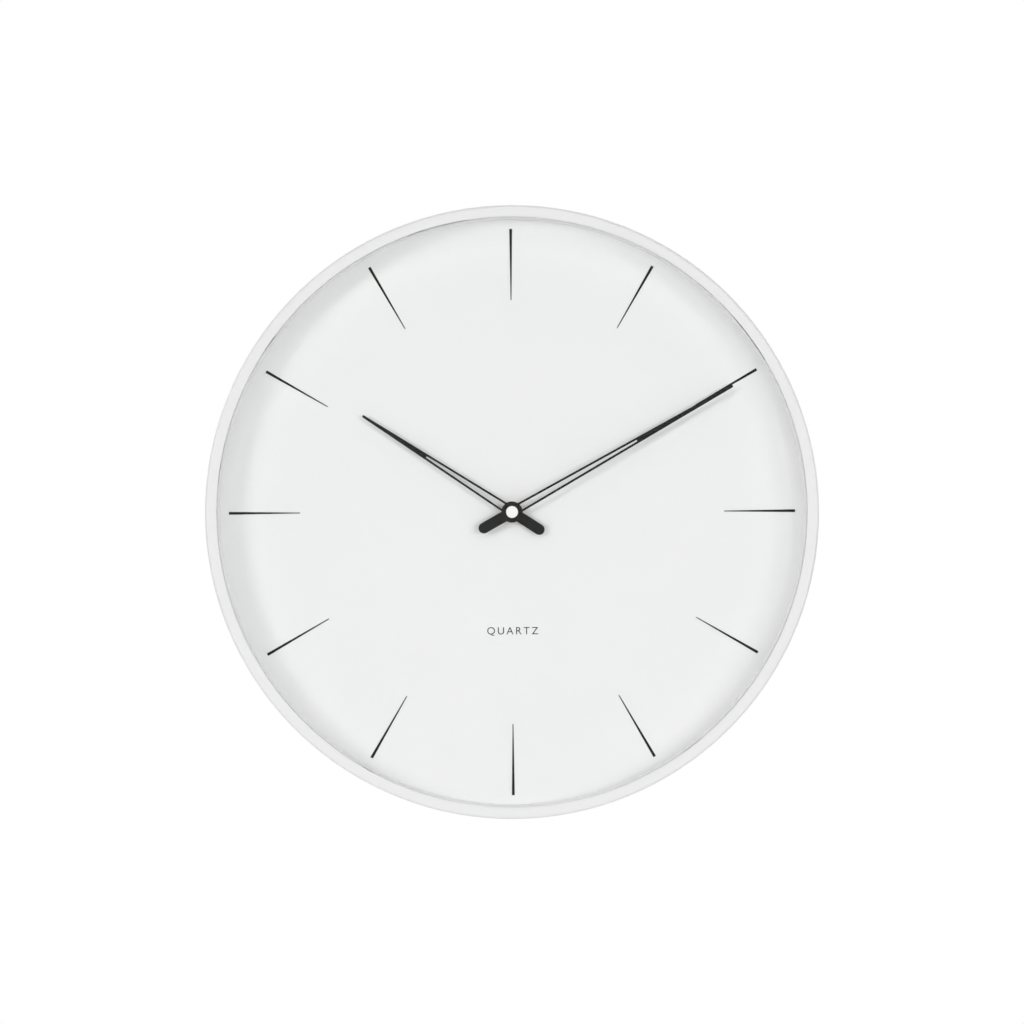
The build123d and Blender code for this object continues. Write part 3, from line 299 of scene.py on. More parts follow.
class Growth(Graph):
    """A geometry tree that turns a seed mesh and named sizes into a plain mesh."""

    def __init__(self, name, sizes):
        super().__init__(bpy.data.node_groups.new(name, "GeometryNodeTree"))
        sockets = self.tree.interface
        for label, kind in {"Seed": "Geometry", **sizes}.items():
            sockets.new_socket(label, in_out="INPUT", socket_type="NodeSocket" + kind)
        sockets.new_socket("Grown", in_out="OUTPUT", socket_type="NodeSocketGeometry")
        self.start = self.tree.nodes.new("NodeGroupInput")

    def given(self, label):
        """The seed mesh, or one of the named sizes."""
        return Value(self, self.start.outputs[label])

    def close(self, grown):
        """Ends the tree in real geometry with a material."""
        real = self.node("GeometryNodeRealizeInstances", {}, {"Geometry": grown})
        self.finished = self.tree.nodes.new("GeometryNodeSetMaterial")
        self.tree.links.new(real.socket, self.finished.inputs["Geometry"])
        painted = Value(self, self.finished.outputs["Geometry"])
        self.node("NodeGroupOutput", {}, {"Grown": painted})

    def grow(self, name, seed, finish, sizes):
        """The plain mesh that the tree makes of a seed mesh, as a new object."""
        self.finished.inputs["Material"].default_value = finish.material
        holder = linked(name + "_seed", seed)
        modifier = holder.modifiers.new("growth", "NODES")
        modifier.node_group = self.tree
        for socket in self.tree.interface.items_tree:
            if socket.name in sizes:
                modifier[socket.identifier] = sizes[socket.name]
        mesh = plain_mesh(holder)
        mesh.name = name
        return linked(name, mesh)


around_axis = Growth("around_axis", {"Count": "Int", "First": "Float", "Step": "Float"})
stack = {"Count": around_axis.given("Count"), "Offset": (0, 0, 0)}
spots = around_axis.node("GeometryNodeMeshLine", {}, stack)
turn = around_axis.node("GeometryNodeInputIndex", {}, {}) * around_axis.given("Step")
turn = around_axis.node("ShaderNodeCombineXYZ", {}, {"Y": around_axis.given("First") + turn})
copies = {"Points": spots, "Instance": around_axis.given("Seed"), "Rotation": turn}
around_axis.close(around_axis.node("GeometryNodeInstanceOnPoints", {}, copies))

bracket_low, bracket_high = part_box("board_brackets")
upright_radius = -bracket_low.z - BRACKET_SHEET
weld_depth = bracket_low.y + WELD_PLACE * (bracket_high.y - bracket_low.y)
on_upright = Matrix.Translation((upright_radius, weld_depth, 0))
inwards = Matrix.Rotation(-math.pi / 2, 4, "Y")
domes = []
for side in (-1, 1):
    outline = [(radius * WELD_RADIUS, rise * WELD_HEIGHT) for radius, rise in WELD_SHAPE]
    dome = lathe(outline, WELD_STEPS)
    lean = Matrix.Rotation(side * WELD_SPACING / 2 / upright_radius, 4, "Y")
    dome.transform(lean @ on_upright @ inwards)
    domes.append(dome)
weld_counts = {"Count": BRACKETS, "First": BRACKET_FIRST_ANGLE, "Step": math.tau / BRACKETS}
welds = around_axis.grow("bracket_spot_welds", formed("weld_pair", *domes), zinc, weld_counts)
keep(welds, zinc, "zinc_steel", "drum")


# ---- Glass ----
# A flat disc of 2.5 mm float glass with a ground edge. Both faces have an anti-glare coat, so it
# only mirrors at a shallow angle, and a few faint wiping marks vary its gloss.

GLASS_MIRROR = (1.0, 1.0, 1.0, 1.0)
GLASS_TINT = (0.995, 0.998, 0.996, 1.0)
COATED_GLASS_IOR = 1.2  # below the 1.5 of bare glass, as the coat weakens the mirror
WIPE_SLANT = 0.5

glass = Finish("clear_float_glass")
wipe = glass.noise((40 * MM, 40 * MM, 8 * MM), 4.0, turn=(0, WIPE_SLANT, 0))
silver = {"Base Color": GLASS_MIRROR, "Metallic": 1.0, "Roughness": wipe * 0.06 + 0.02}
mirror = glass.node("ShaderNodeBsdfPrincipled", {}, silver)
clear = glass.node("ShaderNodeBsdfTransparent", {}, {"Color": GLASS_TINT})
glance = glass.node("ShaderNodeFresnel", {}, {"IOR": COATED_GLASS_IOR})
pane = glass.node("ShaderNodeMixShader", {}, {0: glance, 1: clear, 2: mirror})
glass.node("ShaderNodeOutputMaterial", {}, {"Surface": pane})
coat(glass, "glass_lens")


# ---- Spacer ring ----
# The ring between dial and glass is moulded in white plastic, in one piece with twelve ribs that
# centre it in the drum. It has the faint waviness and satin gloss of an unpainted moulding.

ring_plastic = Finish("white_moulded_plastic")
flow = ring_plastic.noise((14 * MM, 30 * MM, 14 * MM), 2.0)
ring_plastic.surface(
    {
        "Base Color": ring_plastic.mix(flow, shade(236, 236, 235), shade(240, 240, 240)),
        "Roughness": flow * 0.1 + 0.42,
        "Normal": ring_plastic.bump(ring_plastic.noise(0.4 * MM), 0.01 * MM),
    }
)
coat(ring_plastic, "spacer_ring")


# ---- Dial ----
# A disc of 0.8 mm aluminium, sprayed in matt white. The paint has a fine even grain, and nothing
# but the batons and one small word is printed on it.

dial_paint = Finish("matt_white_dial_paint")
grain = dial_paint.noise(0.35 * MM, 2.0)
cloud = dial_paint.noise(90 * MM, 2.0)
dial_paint.surface(
    {
        "Base Color": dial_paint.mix(cloud, shade(238, 238, 238), shade(240, 240, 240)),
        "Roughness": grain * 0.15 + 0.6,
        "Normal": dial_paint.bump(grain, 0.008 * MM),
        "Specular IOR Level": 0.3,
    }
)
coat(dial_paint, "dial_plate")


# ---- Hour markers and lettering ----
# Twelve thin batons are pad-printed in a thick coat of black ink that widens outwards. Below the
# centre stands one plain word in thin letters, in the same ink.

LETTER_HEIGHT = 4.9 * MM
LETTER_DROP = 78.3 * MM
LETTER_SPREAD = 1.32
CAPITAL_SHARE = 0.7  # height of a capital in the letter's size
LETTER_THINNING = 0.02 * MM
INK_THICKNESS = 0.03 * MM

ink = Finish("black_dial_ink")
dots = ink.noise(0.2 * MM, 2.0)
ink.surface(
    {
        "Base Color": ink.mix(dots, shade(6, 6, 7), shade(14, 14, 15)),
        "Roughness": dots * 0.2 + 0.5,
        "Normal": ink.bump(dots, 0.01 * MM),
        "Specular IOR Level": 0.15,
    }
)
coat(ink, "hour_markers")

word = bpy.data.curves.new("word", "FONT")
word.body = "QUARTZ"
word.align_x = "CENTER"
word.align_y = "CENTER"
word.size = LETTER_HEIGHT / CAPITAL_SHARE
word.space_character = LETTER_SPREAD
word.offset = -LETTER_THINNING
word.extrude = INK_THICKNESS / 2
letters = bmesh.new()
letters.from_mesh(plain_mesh(linked("word", word)))
dial_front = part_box("dial_plate")[0].y
on_dial = Matrix.Translation((0, dial_front - INK_THICKNESS / 2, -LETTER_DROP))
letters.transform(on_dial @ Matrix.Rotation(math.pi / 2, 4, "X"))
keep(built("dial_lettering", letters), ink, "dial_print", "drum")


# ---- Backing board ----
# Dial, movement and hanger are carried by a disc of 4 mm hardboard. Its back shows the woven
# screen that it was pressed on, long brown fibres and a few darker chips.

SCREEN_PITCH = 1.3 * MM

board = Finish("pressed_hardboard")
board_x, _, board_z = board.axes()
wave = math.tau / SCREEN_PITCH
screen = (board_x * wave).sine() * (board_z * wave).sine() * 0.5 + 0.5
fibre = board.noise((7 * MM, 7 * MM, 0.35 * MM), 4.0)
fibre_across = board.noise((0.35 * MM, 7 * MM, 6 * MM), 4.0)
chips = (fibre + fibre_across) * 0.5
blotch = board.noise(25 * MM, 3.0)
board_colour = board.mix(chips.over(0.5, 0.5), shade(146, 109, 76), shade(184, 145, 105))
board.surface(
    {
        "Base Color": board.mix(blotch * 0.35, board_colour, shade(134, 100, 72)),
        "Roughness": 0.92 - chips * 0.25,
        "Normal": board.bump(screen * 0.6 + chips, 0.15 * MM),
        "Specular IOR Level": 0.2,
    }
)
coat(board, "backing_board")


# ---- Movement housing, back cover and train bridge ----
# The housing is moulded in black plastic with a spark-eroded grain. The cover over the gear room
# is the same plastic, held by four snap hooks, with raised marks: arrows round the knob for
# turning the hands, and the cell's two poles.

HOOK_LENGTH = 5 * MM
HOOK_SPACING = 28 * MM
HOOK_REACH = 0.8 * MM  # how far a hook covers the cover
HOOK_HEEL = 0.9 * MM  # how far it stands past the cover's edge
HOOK_BROW = 0.3 * MM  # where its top starts, past the same edge
HOOK_RISE = 0.7 * MM
HOOK_ROUNDING = {"offset": 0.08 * MM, "segments": 2, "affect": "EDGES", "profile": 0.5}
MARK_RISE = 0.4 * MM
MARK_SINK = 0.1 * MM
ARROW_RADIUS = 6.8 * MM
ARROW_WIDTH = 0.7 * MM
ARROW_HEAD = 2.2 * MM
ARROW_START = math.radians(14)
ARROW_SPAN = math.radians(62)
ARROW_STEPS = 12
POLE_REACH = 1.6 * MM
POLE_HALF = 0.35 * MM
POLE_PLACE = (21.5 * MM, 4.2 * MM)  # from the cover's middle, and from its lower edge

black_plastic = Finish("black_grained_plastic")
spark = black_plastic.noise(0.28 * MM, 3.0)
handling = black_plastic.noise(12 * MM, 3.0)
black_plastic.surface(
    {
        "Base Color": black_plastic.mix(handling, shade(34, 34, 36), shade(50, 50, 51)),
        "Roughness": spark * 0.2 + handling * 0.1 + 0.36,
        "Normal": black_plastic.bump(spark, 0.035 * MM),
    }
)
coat(black_plastic, "movement_housing", "movement_back_cover", "train_bridge", "setting_knob")


def prism(mesh, first, last):
    """Adds a closed prism between two rings of corners to a bmesh."""
    near = [mesh.verts.new(corner) for corner in first]
    far = [mesh.verts.new(corner) for corner in last]
    mesh.faces.new(near)
    mesh.faces.new(far)
    for i in range(len(near)):
        following = (i + 1) % len(near)
        mesh.faces.new((near[i], near[following], far[following], far[i]))


def raised(mesh, outline, back, front):
    """Adds a flat shape between two depths to a bmesh, from its (x, z) corners in order."""
    prism(mesh, [(x, back, z) for x, z in outline], [(x, front, z) for x, z in outline])


def bar(mesh, middle, half_x, half_z, back, front):
    """Adds a flat bar between two depths to a bmesh, about its middle (x, z)."""
    corners = [(-half_x, -half_z), (half_x, -half_z), (half_x, half_z), (-half_x, half_z)]
    raised(mesh, [(middle[0] + x, middle[1] + z) for x, z in corners], back, front)


def arrow(side, middle):
    """The outline of an arrow that bends round a middle (x, z), to one side."""
    angles = [side * (ARROW_START + ARROW_SPAN * i / ARROW_STEPS) for i in range(ARROW_STEPS + 1)]
    outer = [(ARROW_RADIUS + ARROW_WIDTH / 2, angle) for angle in angles]
    inner = [(ARROW_RADIUS - ARROW_WIDTH / 2, angle) for angle in reversed(angles)]
    head = [
        (ARROW_RADIUS + ARROW_HEAD / 2, angles[-1]),
        (ARROW_RADIUS, angles[-1] + side * ARROW_HEAD / ARROW_RADIUS),
        (ARROW_RADIUS - ARROW_HEAD / 2, angles[-1]),
    ]
    turned = outer + head + inner
    return [(middle[0] + r * math.sin(a), middle[1] + r * math.cos(a)) for r, a in turned]


cover_low, cover_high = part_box("movement_back_cover")
knob_low, knob_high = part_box("setting_knob")
knob_middle = (knob_low + knob_high) / 2
mark_front = cover_high.y - MARK_SINK
mark_back = cover_high.y + MARK_RISE
marks = bmesh.new()
for side in (-1, 1):
    raised(marks, arrow(side, (knob_middle.x, knob_middle.z)), mark_back, mark_front)
    pole = (side * POLE_PLACE[0], cover_low.z + POLE_PLACE[1])
    bar(marks, pole, POLE_REACH, POLE_HALF, mark_back, mark_front)
stub_half = (POLE_REACH - POLE_HALF) / 2
for side in (-1, 1):
    stub_z = cover_low.z + POLE_PLACE[1] + side * (POLE_HALF + stub_half)
    bar(marks, (-POLE_PLACE[0], stub_z), POLE_HALF, stub_half, mark_back, mark_front)
keep(built("cover_marks", marks), black_plastic, "black_plastic", "drum")

along_x = Growth("along_x", {"Count": "Int", "Spacing": "Float"})
step = along_x.node("ShaderNodeCombineXYZ", {}, {"X": along_x.given("Spacing")})
row = {"Count": along_x.given("Count"), "Offset": step}
row = along_x.node("GeometryNodeMeshLine", {}, row)
copies = {"Points": row, "Instance": along_x.given("Seed")}
along_x.close(along_x.node("GeometryNodeInstanceOnPoints", {}, copies))

hook_pair = []
for edge, side in ((cover_high.z, 1), (cover_low.z, -1)):
    section = [
        (cover_high.y - MARK_SINK, edge + side * HOOK_HEEL),
        (cover_high.y + 0.25 * HOOK_RISE, edge + side * HOOK_HEEL),
        (cover_high.y + HOOK_RISE, edge + side * HOOK_BROW),
        (cover_high.y + HOOK_RISE, edge - side * 0.3 * HOOK_REACH),
        (cover_high.y + 0.2 * HOOK_RISE, edge - side * HOOK_REACH),
        (cover_high.y - MARK_SINK, edge - side * HOOK_REACH),
    ]
    left, right = [(end * HOOK_LENGTH - HOOK_SPACING) / 2 for end in (-1, 1)]
    hook = bmesh.new()
    prism(hook, [(left, y, z) for y, z in section], [(right, y, z) for y, z in section])
    bmesh.ops.recalc_face_normals(hook, faces=hook.faces)
    bmesh.ops.bevel(hook, geom=hook.edges, **HOOK_ROUNDING)
    hook_pair.append(hook)
hook_seed = formed("hook_pair", *hook_pair)
hook_counts = {"Count": 2, "Spacing": HOOK_SPACING}
hooks = along_x.grow("cover_snap_hooks", hook_seed, black_plastic, hook_counts)
keep(hooks, black_plastic, "black_plastic", "drum")


# ---- Bush, nut, washer and collets ----
# Bush, nut, dial washer and the hands' collets are turned from brass bar. The cutter leaves fine
# rings round the axis, the bush has a fine thread, and handling dulls the metal in patches.

CUTTER_PITCH = 0.18 * MM
THREAD_PITCH = 0.75 * MM
THREAD_RADIUS = 3.94 * MM
THREAD_RIDGE = 0.12 * MM
THREAD_SIDES = 4
WINDING_STEPS = 32  # along one turn of a wound wire

brass = Finish("turned_brass")
brass_x, _, brass_z = brass.axes()
from_axis = brass_x.math("SQRT", brass_x * brass_x + brass_z * brass_z)
rings = (from_axis * (math.tau / CUTTER_PITCH)).sine()
tarnish = brass.noise(3 * MM, 4.0)
brass.surface(
    {
        "Base Color": brass.mix(tarnish.over(0.55, 0.3), shade(214, 176, 98), shade(176, 137, 72)),
        "Metallic": 1.0,
        "Roughness": tarnish * 0.2 + rings * 0.03 + 0.2,
        "Normal": brass.bump(rings, 0.004 * MM),
    }
)
coat(brass, "mounting_bush", "hex_nut", "dial_washer", "hour_hand_collet", "minute_hand_collet")

helix_sizes = dict.fromkeys(("Radius", "Wire", "Length", "Turns"), "Float")
helix = Growth("wound_wire", {**helix_sizes, "Sides": "Int"})
spiral = {
    "Resolution": WINDING_STEPS,
    "Rotations": helix.given("Turns"),
    "Start Radius": helix.given("Radius"),
    "End Radius": helix.given("Radius"),
    "Height": helix.given("Length"),
}
path = helix.node("GeometryNodeCurveSpiral", {}, spiral)
wire = {"Resolution": helix.given("Sides"), "Radius": helix.given("Wire")}
wire = helix.node("GeometryNodeCurvePrimitiveCircle", {}, wire)
swept = {"Curve": path, "Profile Curve": wire, "Fill Caps": True}
helix.close(helix.node("GeometryNodeCurveToMesh", {}, swept))

housing_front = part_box("movement_housing")[0].y
thread_length = housing_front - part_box("mounting_bush")[0].y - THREAD_PITCH
thread_sizes = {
    "Radius": THREAD_RADIUS,
    "Wire": THREAD_RIDGE,
    "Length": thread_length,
    "Turns": thread_length / THREAD_PITCH,
    "Sides": THREAD_SIDES,
}
thread = helix.grow("bush_thread", bpy.data.meshes.new("empty"), brass, thread_sizes)
thread_start = Matrix.Translation((0, housing_front - THREAD_PITCH / 2, 0))
thread.data.transform(thread_start @ Matrix.Rotation(math.pi / 2, 4, "X"))
keep(thread, brass, "brass", "drum")

rubber = Finish("black_rubber")
bloom = rubber.noise(1.5 * MM, 4.0)
rubber.surface(
    {
        "Base Color": rubber.mix(bloom, shade(26, 26, 26), shade(48, 48, 47)),
        "Roughness": bloom * 0.15 + 0.75,
        "Normal": rubber.bump(bloom, 0.03 * MM),
    }
)
coat(rubber, "rubber_washer")


# ---- Gear train ----
# The wheels are moulded in milky white acetal, a waxy plastic that lets a little light in. The
# minute arbor is bright steel, and so are the cell's contacts and the crystal's can, tinned.

acetal = Finish("milky_acetal")
milky = acetal.noise(2.5 * MM, 3.0)
acetal.surface(
    {
        "Base Color": acetal.mix(milky, shade(226, 224, 215), shade(240, 239, 233)),
        "Roughness": milky * 0.15 + 0.3,
        "Normal": acetal.bump(acetal.noise(0.3 * MM), 0.01 * MM),
        "Subsurface Weight": 0.15,
        "Subsurface Scale": 0.6 * MM,
    }
)
coat(acetal, "hour_wheel", "minute_wheel", "centre_wheel", "third_wheel", "seconds_wheel")
coat(acetal, "intermediate_wheel", "rotor_pinion", "coil_bobbin")

tinned = Finish("tinned_steel")
dross = tinned.noise(1.2 * MM, 4.0)
rolled = tinned.noise((0.1 * MM, 3 * MM, 3 * MM), 2.0)
tinned.surface(
    {
        "Base Color": tinned.mix(dross, shade(176, 178, 178), shade(212, 213, 212)),
        "Metallic": 1.0,
        "Roughness": dross * 0.25 + rolled * 0.08 + 0.16,
        "Normal": tinned.bump(rolled + dross * 0.5, 0.006 * MM),
    }
)
coat(tinned, "minute_arbor", "positive_contact", "negative_contact", "quartz_crystal")


# ---- Step motor ----
# A ring magnet turns in the hole of a soft-iron stator plate. The coil's core closes the iron
# path. The coil is one long enamelled copper wire, wound turn by turn on its bobbin.

COIL_WIRE = 0.24 * MM  # across the wire of the outer layer
COIL_WIRE_SIDES = 8

magnet_finish = Finish("sintered_ferrite")
sinter = magnet_finish.cells(0.25 * MM)
magnet_finish.surface(
    {
        "Base Color": magnet_finish.mix(sinter, shade(52, 52, 55), shade(82, 82, 86)),
        "Metallic": 0.6,
        "Roughness": sinter * 0.3 + 0.4,
        "Normal": magnet_finish.bump(sinter, 0.02 * MM),
    }
)
coat(magnet_finish, "rotor_magnet")

iron = Finish("annealed_soft_iron")
heat = iron.noise(7 * MM, 3.0)
press = iron.noise((0.2 * MM, 4 * MM, 6 * MM), 2.0)
iron.surface(
    {
        "Base Color": iron.mix(heat, shade(120, 122, 126), shade(150, 146, 140)),
        "Metallic": 1.0,
        "Roughness": heat * 0.2 + press * 0.1 + 0.3,
        "Normal": iron.bump(press, 0.008 * MM),
    }
)
coat(iron, "stator", "coil_core")

copper = Finish("enamelled_copper")
lacquer = copper.noise(1.5 * MM, 3.0)
copper.surface(
    {
        "Base Color": copper.mix(lacquer, shade(150, 74, 42), shade(196, 106, 62)),
        "Metallic": 0.9,
        "Roughness": lacquer * 0.15 + 0.22,
        "Normal": copper.bump(lacquer, 0.01 * MM),
        "Coat Weight": lacquer * 0.3 + 0.4,
    }
)
coil_low, coil_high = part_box("coil_winding")
coil_middle = (coil_low + coil_high) / 2
coil_radius = (coil_high.x - coil_low.x) / 2 - COIL_WIRE / 2
coil_length = coil_high.z - coil_low.z - COIL_WIRE
coil_sizes = {
    "Radius": coil_radius,
    "Wire": COIL_WIRE / 2,
    "Length": coil_length,
    "Turns": coil_length / COIL_WIRE,
    "Sides": COIL_WIRE_SIDES,
}
coil = helix.grow("coil_turns", bpy.data.meshes.new("empty"), copper, coil_sizes)
coil.data.transform(Matrix.Translation((coil_middle.x, coil_middle.y, coil_low.z + COIL_WIRE / 2)))
keep(coil, copper, "copper", "drum", "coil_winding")


# ---- Circuit board ----
# A strip of brown paper laminate carries the clock's chip under a drop of black resin, and the
# quartz crystal in a tinned can. Two copper tracks run from end to end under the chip and end in
# dots of solder, two of which take the coil's leads.

TRACK_WIDTH = 0.7 * MM
TRACK_RISE = 0.05 * MM
TRACK_MARGIN = 2 * MM
TRACK_ROWS = (0.2, 0.8)  # shares of the board's height
SOLDER_RADIUS = 0.8 * MM
SOLDER_HEIGHT = 0.55 * MM
SOLDER_SINK = 0.1 * MM
SOLDER_EDGE = 0.05 * MM
SOLDER_DOME = ((0.75, 0.35), (0.35, 0.8), (0.12, 1), (0, 1))  # shares of radius and height
SOLDER_STEPS = 16
LEAD_RADIUS = 0.1 * MM
LEAD_GAP = 0.2 * MM  # between a lead and the bobbin's flange
LEAD_STARTS = (-0.6 * MM, 0.8 * MM)  # beside the coil's middle
LEAD_TUCK = 0.5 * MM
LEAD_OVERHANG = 0.3 * MM
LEAD_RISE = 3 * MM  # from the bobbin's end to the first bend
LEAD_REACH = 4 * MM  # from the last bend to the solder
LEAD_LIFT = 1.0 * MM
LEAD_SLACK = 0.8 * MM

laminate = Finish("brown_paper_laminate")
paper = laminate.noise((3 * MM, 1 * MM, 0.5 * MM), 4.0)
laminate.surface(
    {
        "Base Color": laminate.mix(paper, shade(120, 82, 44), shade(156, 112, 64)),
        "Roughness": paper * 0.2 + 0.4,
        "Normal": laminate.bump(paper, 0.01 * MM),
    }
)
coat(laminate, "circuit_board")

resin = Finish("black_epoxy_drop")
ripple = resin.noise(1.2 * MM, 2.0)
resin.surface(
    {
        "Base Color": resin.mix(ripple, shade(18, 18, 19), shade(28, 28, 29)),
        "Roughness": ripple * 0.15 + 0.2,
        "Normal": resin.bump(ripple, 0.03 * MM),
    }
)
coat(resin, "chip_cover")

card_low, card_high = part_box("circuit_board")
card_back = card_high.y
track_rows = [card_low.z + share * (card_high.z - card_low.z) for share in TRACK_ROWS]
track_ends = [card_low.x + TRACK_MARGIN, card_high.x - TRACK_MARGIN]
track_half = (track_ends[1] - track_ends[0]) / 2
tracks = bmesh.new()
for track_z in track_rows:
    middle = (track_ends[0] + track_half, track_z)
    bar(tracks, middle, track_half, TRACK_WIDTH / 2, card_back + TRACK_RISE, card_back)
keep(built("circuit_tracks", tracks), copper, "copper", "drum")

outline = [(0, -SOLDER_SINK), (SOLDER_RADIUS, -SOLDER_SINK), (SOLDER_RADIUS, SOLDER_EDGE)]
outline += [(radius * SOLDER_RADIUS, rise * SOLDER_HEIGHT) for radius, rise in SOLDER_DOME]
dots = []
for track_z in track_rows:
    dot = lathe(outline, SOLDER_STEPS)
    track_end = Matrix.Translation((track_ends[0], card_back, track_z))
    dot.transform(track_end @ Matrix.Rotation(-math.pi / 2, 4, "X"))
    dots.append(dot)
dot_counts = {"Count": 2, "Spacing": track_ends[1] - track_ends[0]}
solder = along_x.grow("solder_dots", formed("dot_pair", *dots), tinned, dot_counts)
keep(solder, tinned, "tinned_steel", "drum")

bobbin_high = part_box("coil_bobbin")[1]
lead_back = bobbin_high.y + LEAD_GAP + LEAD_RADIUS
leads = bpy.data.curves.new("leads", "CURVE")
leads.dimensions = "3D"
leads.bevel_depth = LEAD_RADIUS
leads.bevel_resolution = 2
leads.use_fill_caps = True
for aside, row_z in zip(LEAD_STARTS, track_rows):
    start_x = coil_middle.x + aside
    places = [
        (start_x, coil_high.y + LEAD_RADIUS, coil_high.z - LEAD_TUCK),
        (start_x, lead_back, coil_high.z),
        (start_x, lead_back, bobbin_high.z + LEAD_OVERHANG),
        (start_x - LEAD_SLACK, lead_back - LEAD_TUCK, bobbin_high.z + LEAD_RISE),
        (track_ends[1] + LEAD_REACH, card_back + LEAD_LIFT, row_z - LEAD_SLACK),
        (track_ends[1], card_back + SOLDER_HEIGHT / 2, row_z),
    ]
    lead = leads.splines.new("BEZIER")
    lead.bezier_points.add(len(places) - 1)
    for point, place in zip(lead.bezier_points, places):
        point.co = place
        point.handle_left_type = "AUTO"
        point.handle_right_type = "AUTO"
lead_mesh = bmesh.new()
lead_mesh.from_mesh(plain_mesh(linked("leads", leads)))
keep(built("coil_leads", lead_mesh), copper, "copper", "drum")


# ---- Cell ----
# One AA cell lies in the bay, button to the left. Its can is nickel-plated steel. The printed
# shrink sleeve laps over both ends, with a pale band and a plus sign at the button's end.

SLEEVE_LAP = 6.7 * MM  # radius of the sleeve's edge on each end
SLEEVE_SINK = 0.2 * MM
SHOULDER_DROP = 1.0 * MM  # from the button's face to the shoulder
BUTTON_RADIUS = 2.75 * MM
# The next five pair a radius, or a distance in from the side, with a depth from the nearest end,
# all in mm.
FLAT_END = ((0, 0.2), (4.4, 0.2), (4.8, 0.02), (5.7, 0), (6.0, 0.35), (6.5, 0.4))
FLAT_END_EDGE = ((0.25, 0.3), (0.05, 0.6), (0, 1.0))
SHOULDER_EDGE = ((0, 0.9), (0.06, 0.45), (0.3, 0.1))
SHOULDER = ((6.5, 0.15), (6.1, 0.3), (3.6, 0.3))
BUTTON_EDGE = ((0, 0.25), (0.1, 0.08), (0.3, 0))
BUTTON_FILLET = (0.15 * MM, 0.1 * MM)
CELL_STEPS = 96
BAND_LENGTH = 10 * MM
RULE_GAP = 0.9 * MM  # from the band to the middle of the rule beside it
RULE_HALF = 0.35 * MM
SIGN_HALF = 0.45 * MM
SIGN_REACH = 2.0 * MM
PRINT_EDGE = 0.06 * MM  # how far a printed edge fades

cell_low, cell_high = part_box("battery_cell")
cell_middle = (cell_low + cell_high) / 2
cell_radius = (cell_high.z - cell_low.z) / 2
cell_half = (cell_high.x - cell_low.x) / 2
shoulder = cell_half - SHOULDER_DROP
outline = [(radius * MM, -cell_half + depth * MM) for radius, depth in FLAT_END]
outline.append((SLEEVE_LAP, -cell_half + SLEEVE_SINK))
outline += [(cell_radius - inset * MM, -cell_half + depth * MM) for inset, depth in FLAT_END_EDGE]
outline.append((cell_radius, 0))
outline += [(cell_radius - inset * MM, shoulder - depth * MM) for inset, depth in SHOULDER_EDGE]
outline.append((SLEEVE_LAP, shoulder))
outline += [(radius * MM, shoulder - depth * MM) for radius, depth in SHOULDER]
outline.append((BUTTON_RADIUS + BUTTON_FILLET[0], shoulder - BUTTON_FILLET[0]))
outline.append((BUTTON_RADIUS, shoulder + BUTTON_FILLET[1]))
outline += [(BUTTON_RADIUS - inset * MM, cell_half - depth * MM) for inset, depth in BUTTON_EDGE]
outline.append((0, cell_half))
cell_mesh = lathe(outline, CELL_STEPS)
cell_mesh.transform(Matrix.Translation(cell_middle) @ Matrix.Rotation(-math.pi / 2, 4, "Y"))
cell = built("aa_cell", cell_mesh)

sleeve = Finish("printed_cell_sleeve")
cell_x, cell_y, cell_z = sleeve.axes(centre=tuple(cell_middle))
cell_axis = cell_x.math("SQRT", cell_y * cell_y + cell_z * cell_z)
sleeved = cell_axis.over(SLEEVE_LAP - 0.05 * MM, 0.1 * MM)
band = 1 - cell_x.over(BAND_LENGTH - cell_half, PRINT_EDGE)
rule_x = BAND_LENGTH + RULE_GAP - cell_half
rule = 1 - (cell_x - rule_x).size().over(RULE_HALF, PRINT_EDGE)
print_side = cell_y.over(0.0, PRINT_EDGE)


def pole_sign(centre_x, plus):
    """A printed plus or minus sign on the side of the sleeve that faces out of the bay."""
    across = (cell_x - centre_x).size()
    up = cell_z.size()
    sign = (1 - across.over(SIGN_HALF, PRINT_EDGE)) * (1 - up.over(SIGN_REACH, PRINT_EDGE))
    if plus:
        other = (1 - across.over(SIGN_REACH, PRINT_EDGE)) * (1 - up.over(SIGN_HALF, PRINT_EDGE))
        sign = sign.math("MAXIMUM", sign, other)
    return sign * print_side


plus = pole_sign(BAND_LENGTH / 2 - cell_half, True)
minus = pole_sign(cell_half - BAND_LENGTH / 2, False)
shrink = sleeve.noise((0.8 * MM, 4 * MM, 4 * MM), 2.0)
pale_print = shade(214, 214, 210)
sleeve_colour = sleeve.mix(shrink, shade(30, 66, 84), shade(38, 76, 94))
sleeve_colour = sleeve.mix(rule, sleeve_colour, pale_print)
sleeve_colour = sleeve.mix(minus, sleeve_colour, pale_print)
sleeve_colour = sleeve.mix(band, sleeve_colour, pale_print)
sleeve_colour = sleeve.mix(plus, sleeve_colour, shade(36, 70, 88))
nickel = sleeve.mix(shrink, shade(182, 180, 174), shade(206, 204, 198))
sleeve.surface(
    {
        "Base Color": sleeve.mix(sleeved, nickel, sleeve_colour),
        "Metallic": 1 - sleeved,
        "Roughness": shrink * 0.12 + 0.2,
        "Normal": sleeve.bump(shrink, 0.02 * MM),
        "Coat Weight": sleeved * 0.5,
    }
)
keep(cell, sleeve, "cell_jacket", "cell", "battery_cell")


# ---- Hands and cap ----
# Both hands are stamped from 0.6 mm aluminium and painted satin black. The cap over the minute
# arbor is a small turned button in gloss white.

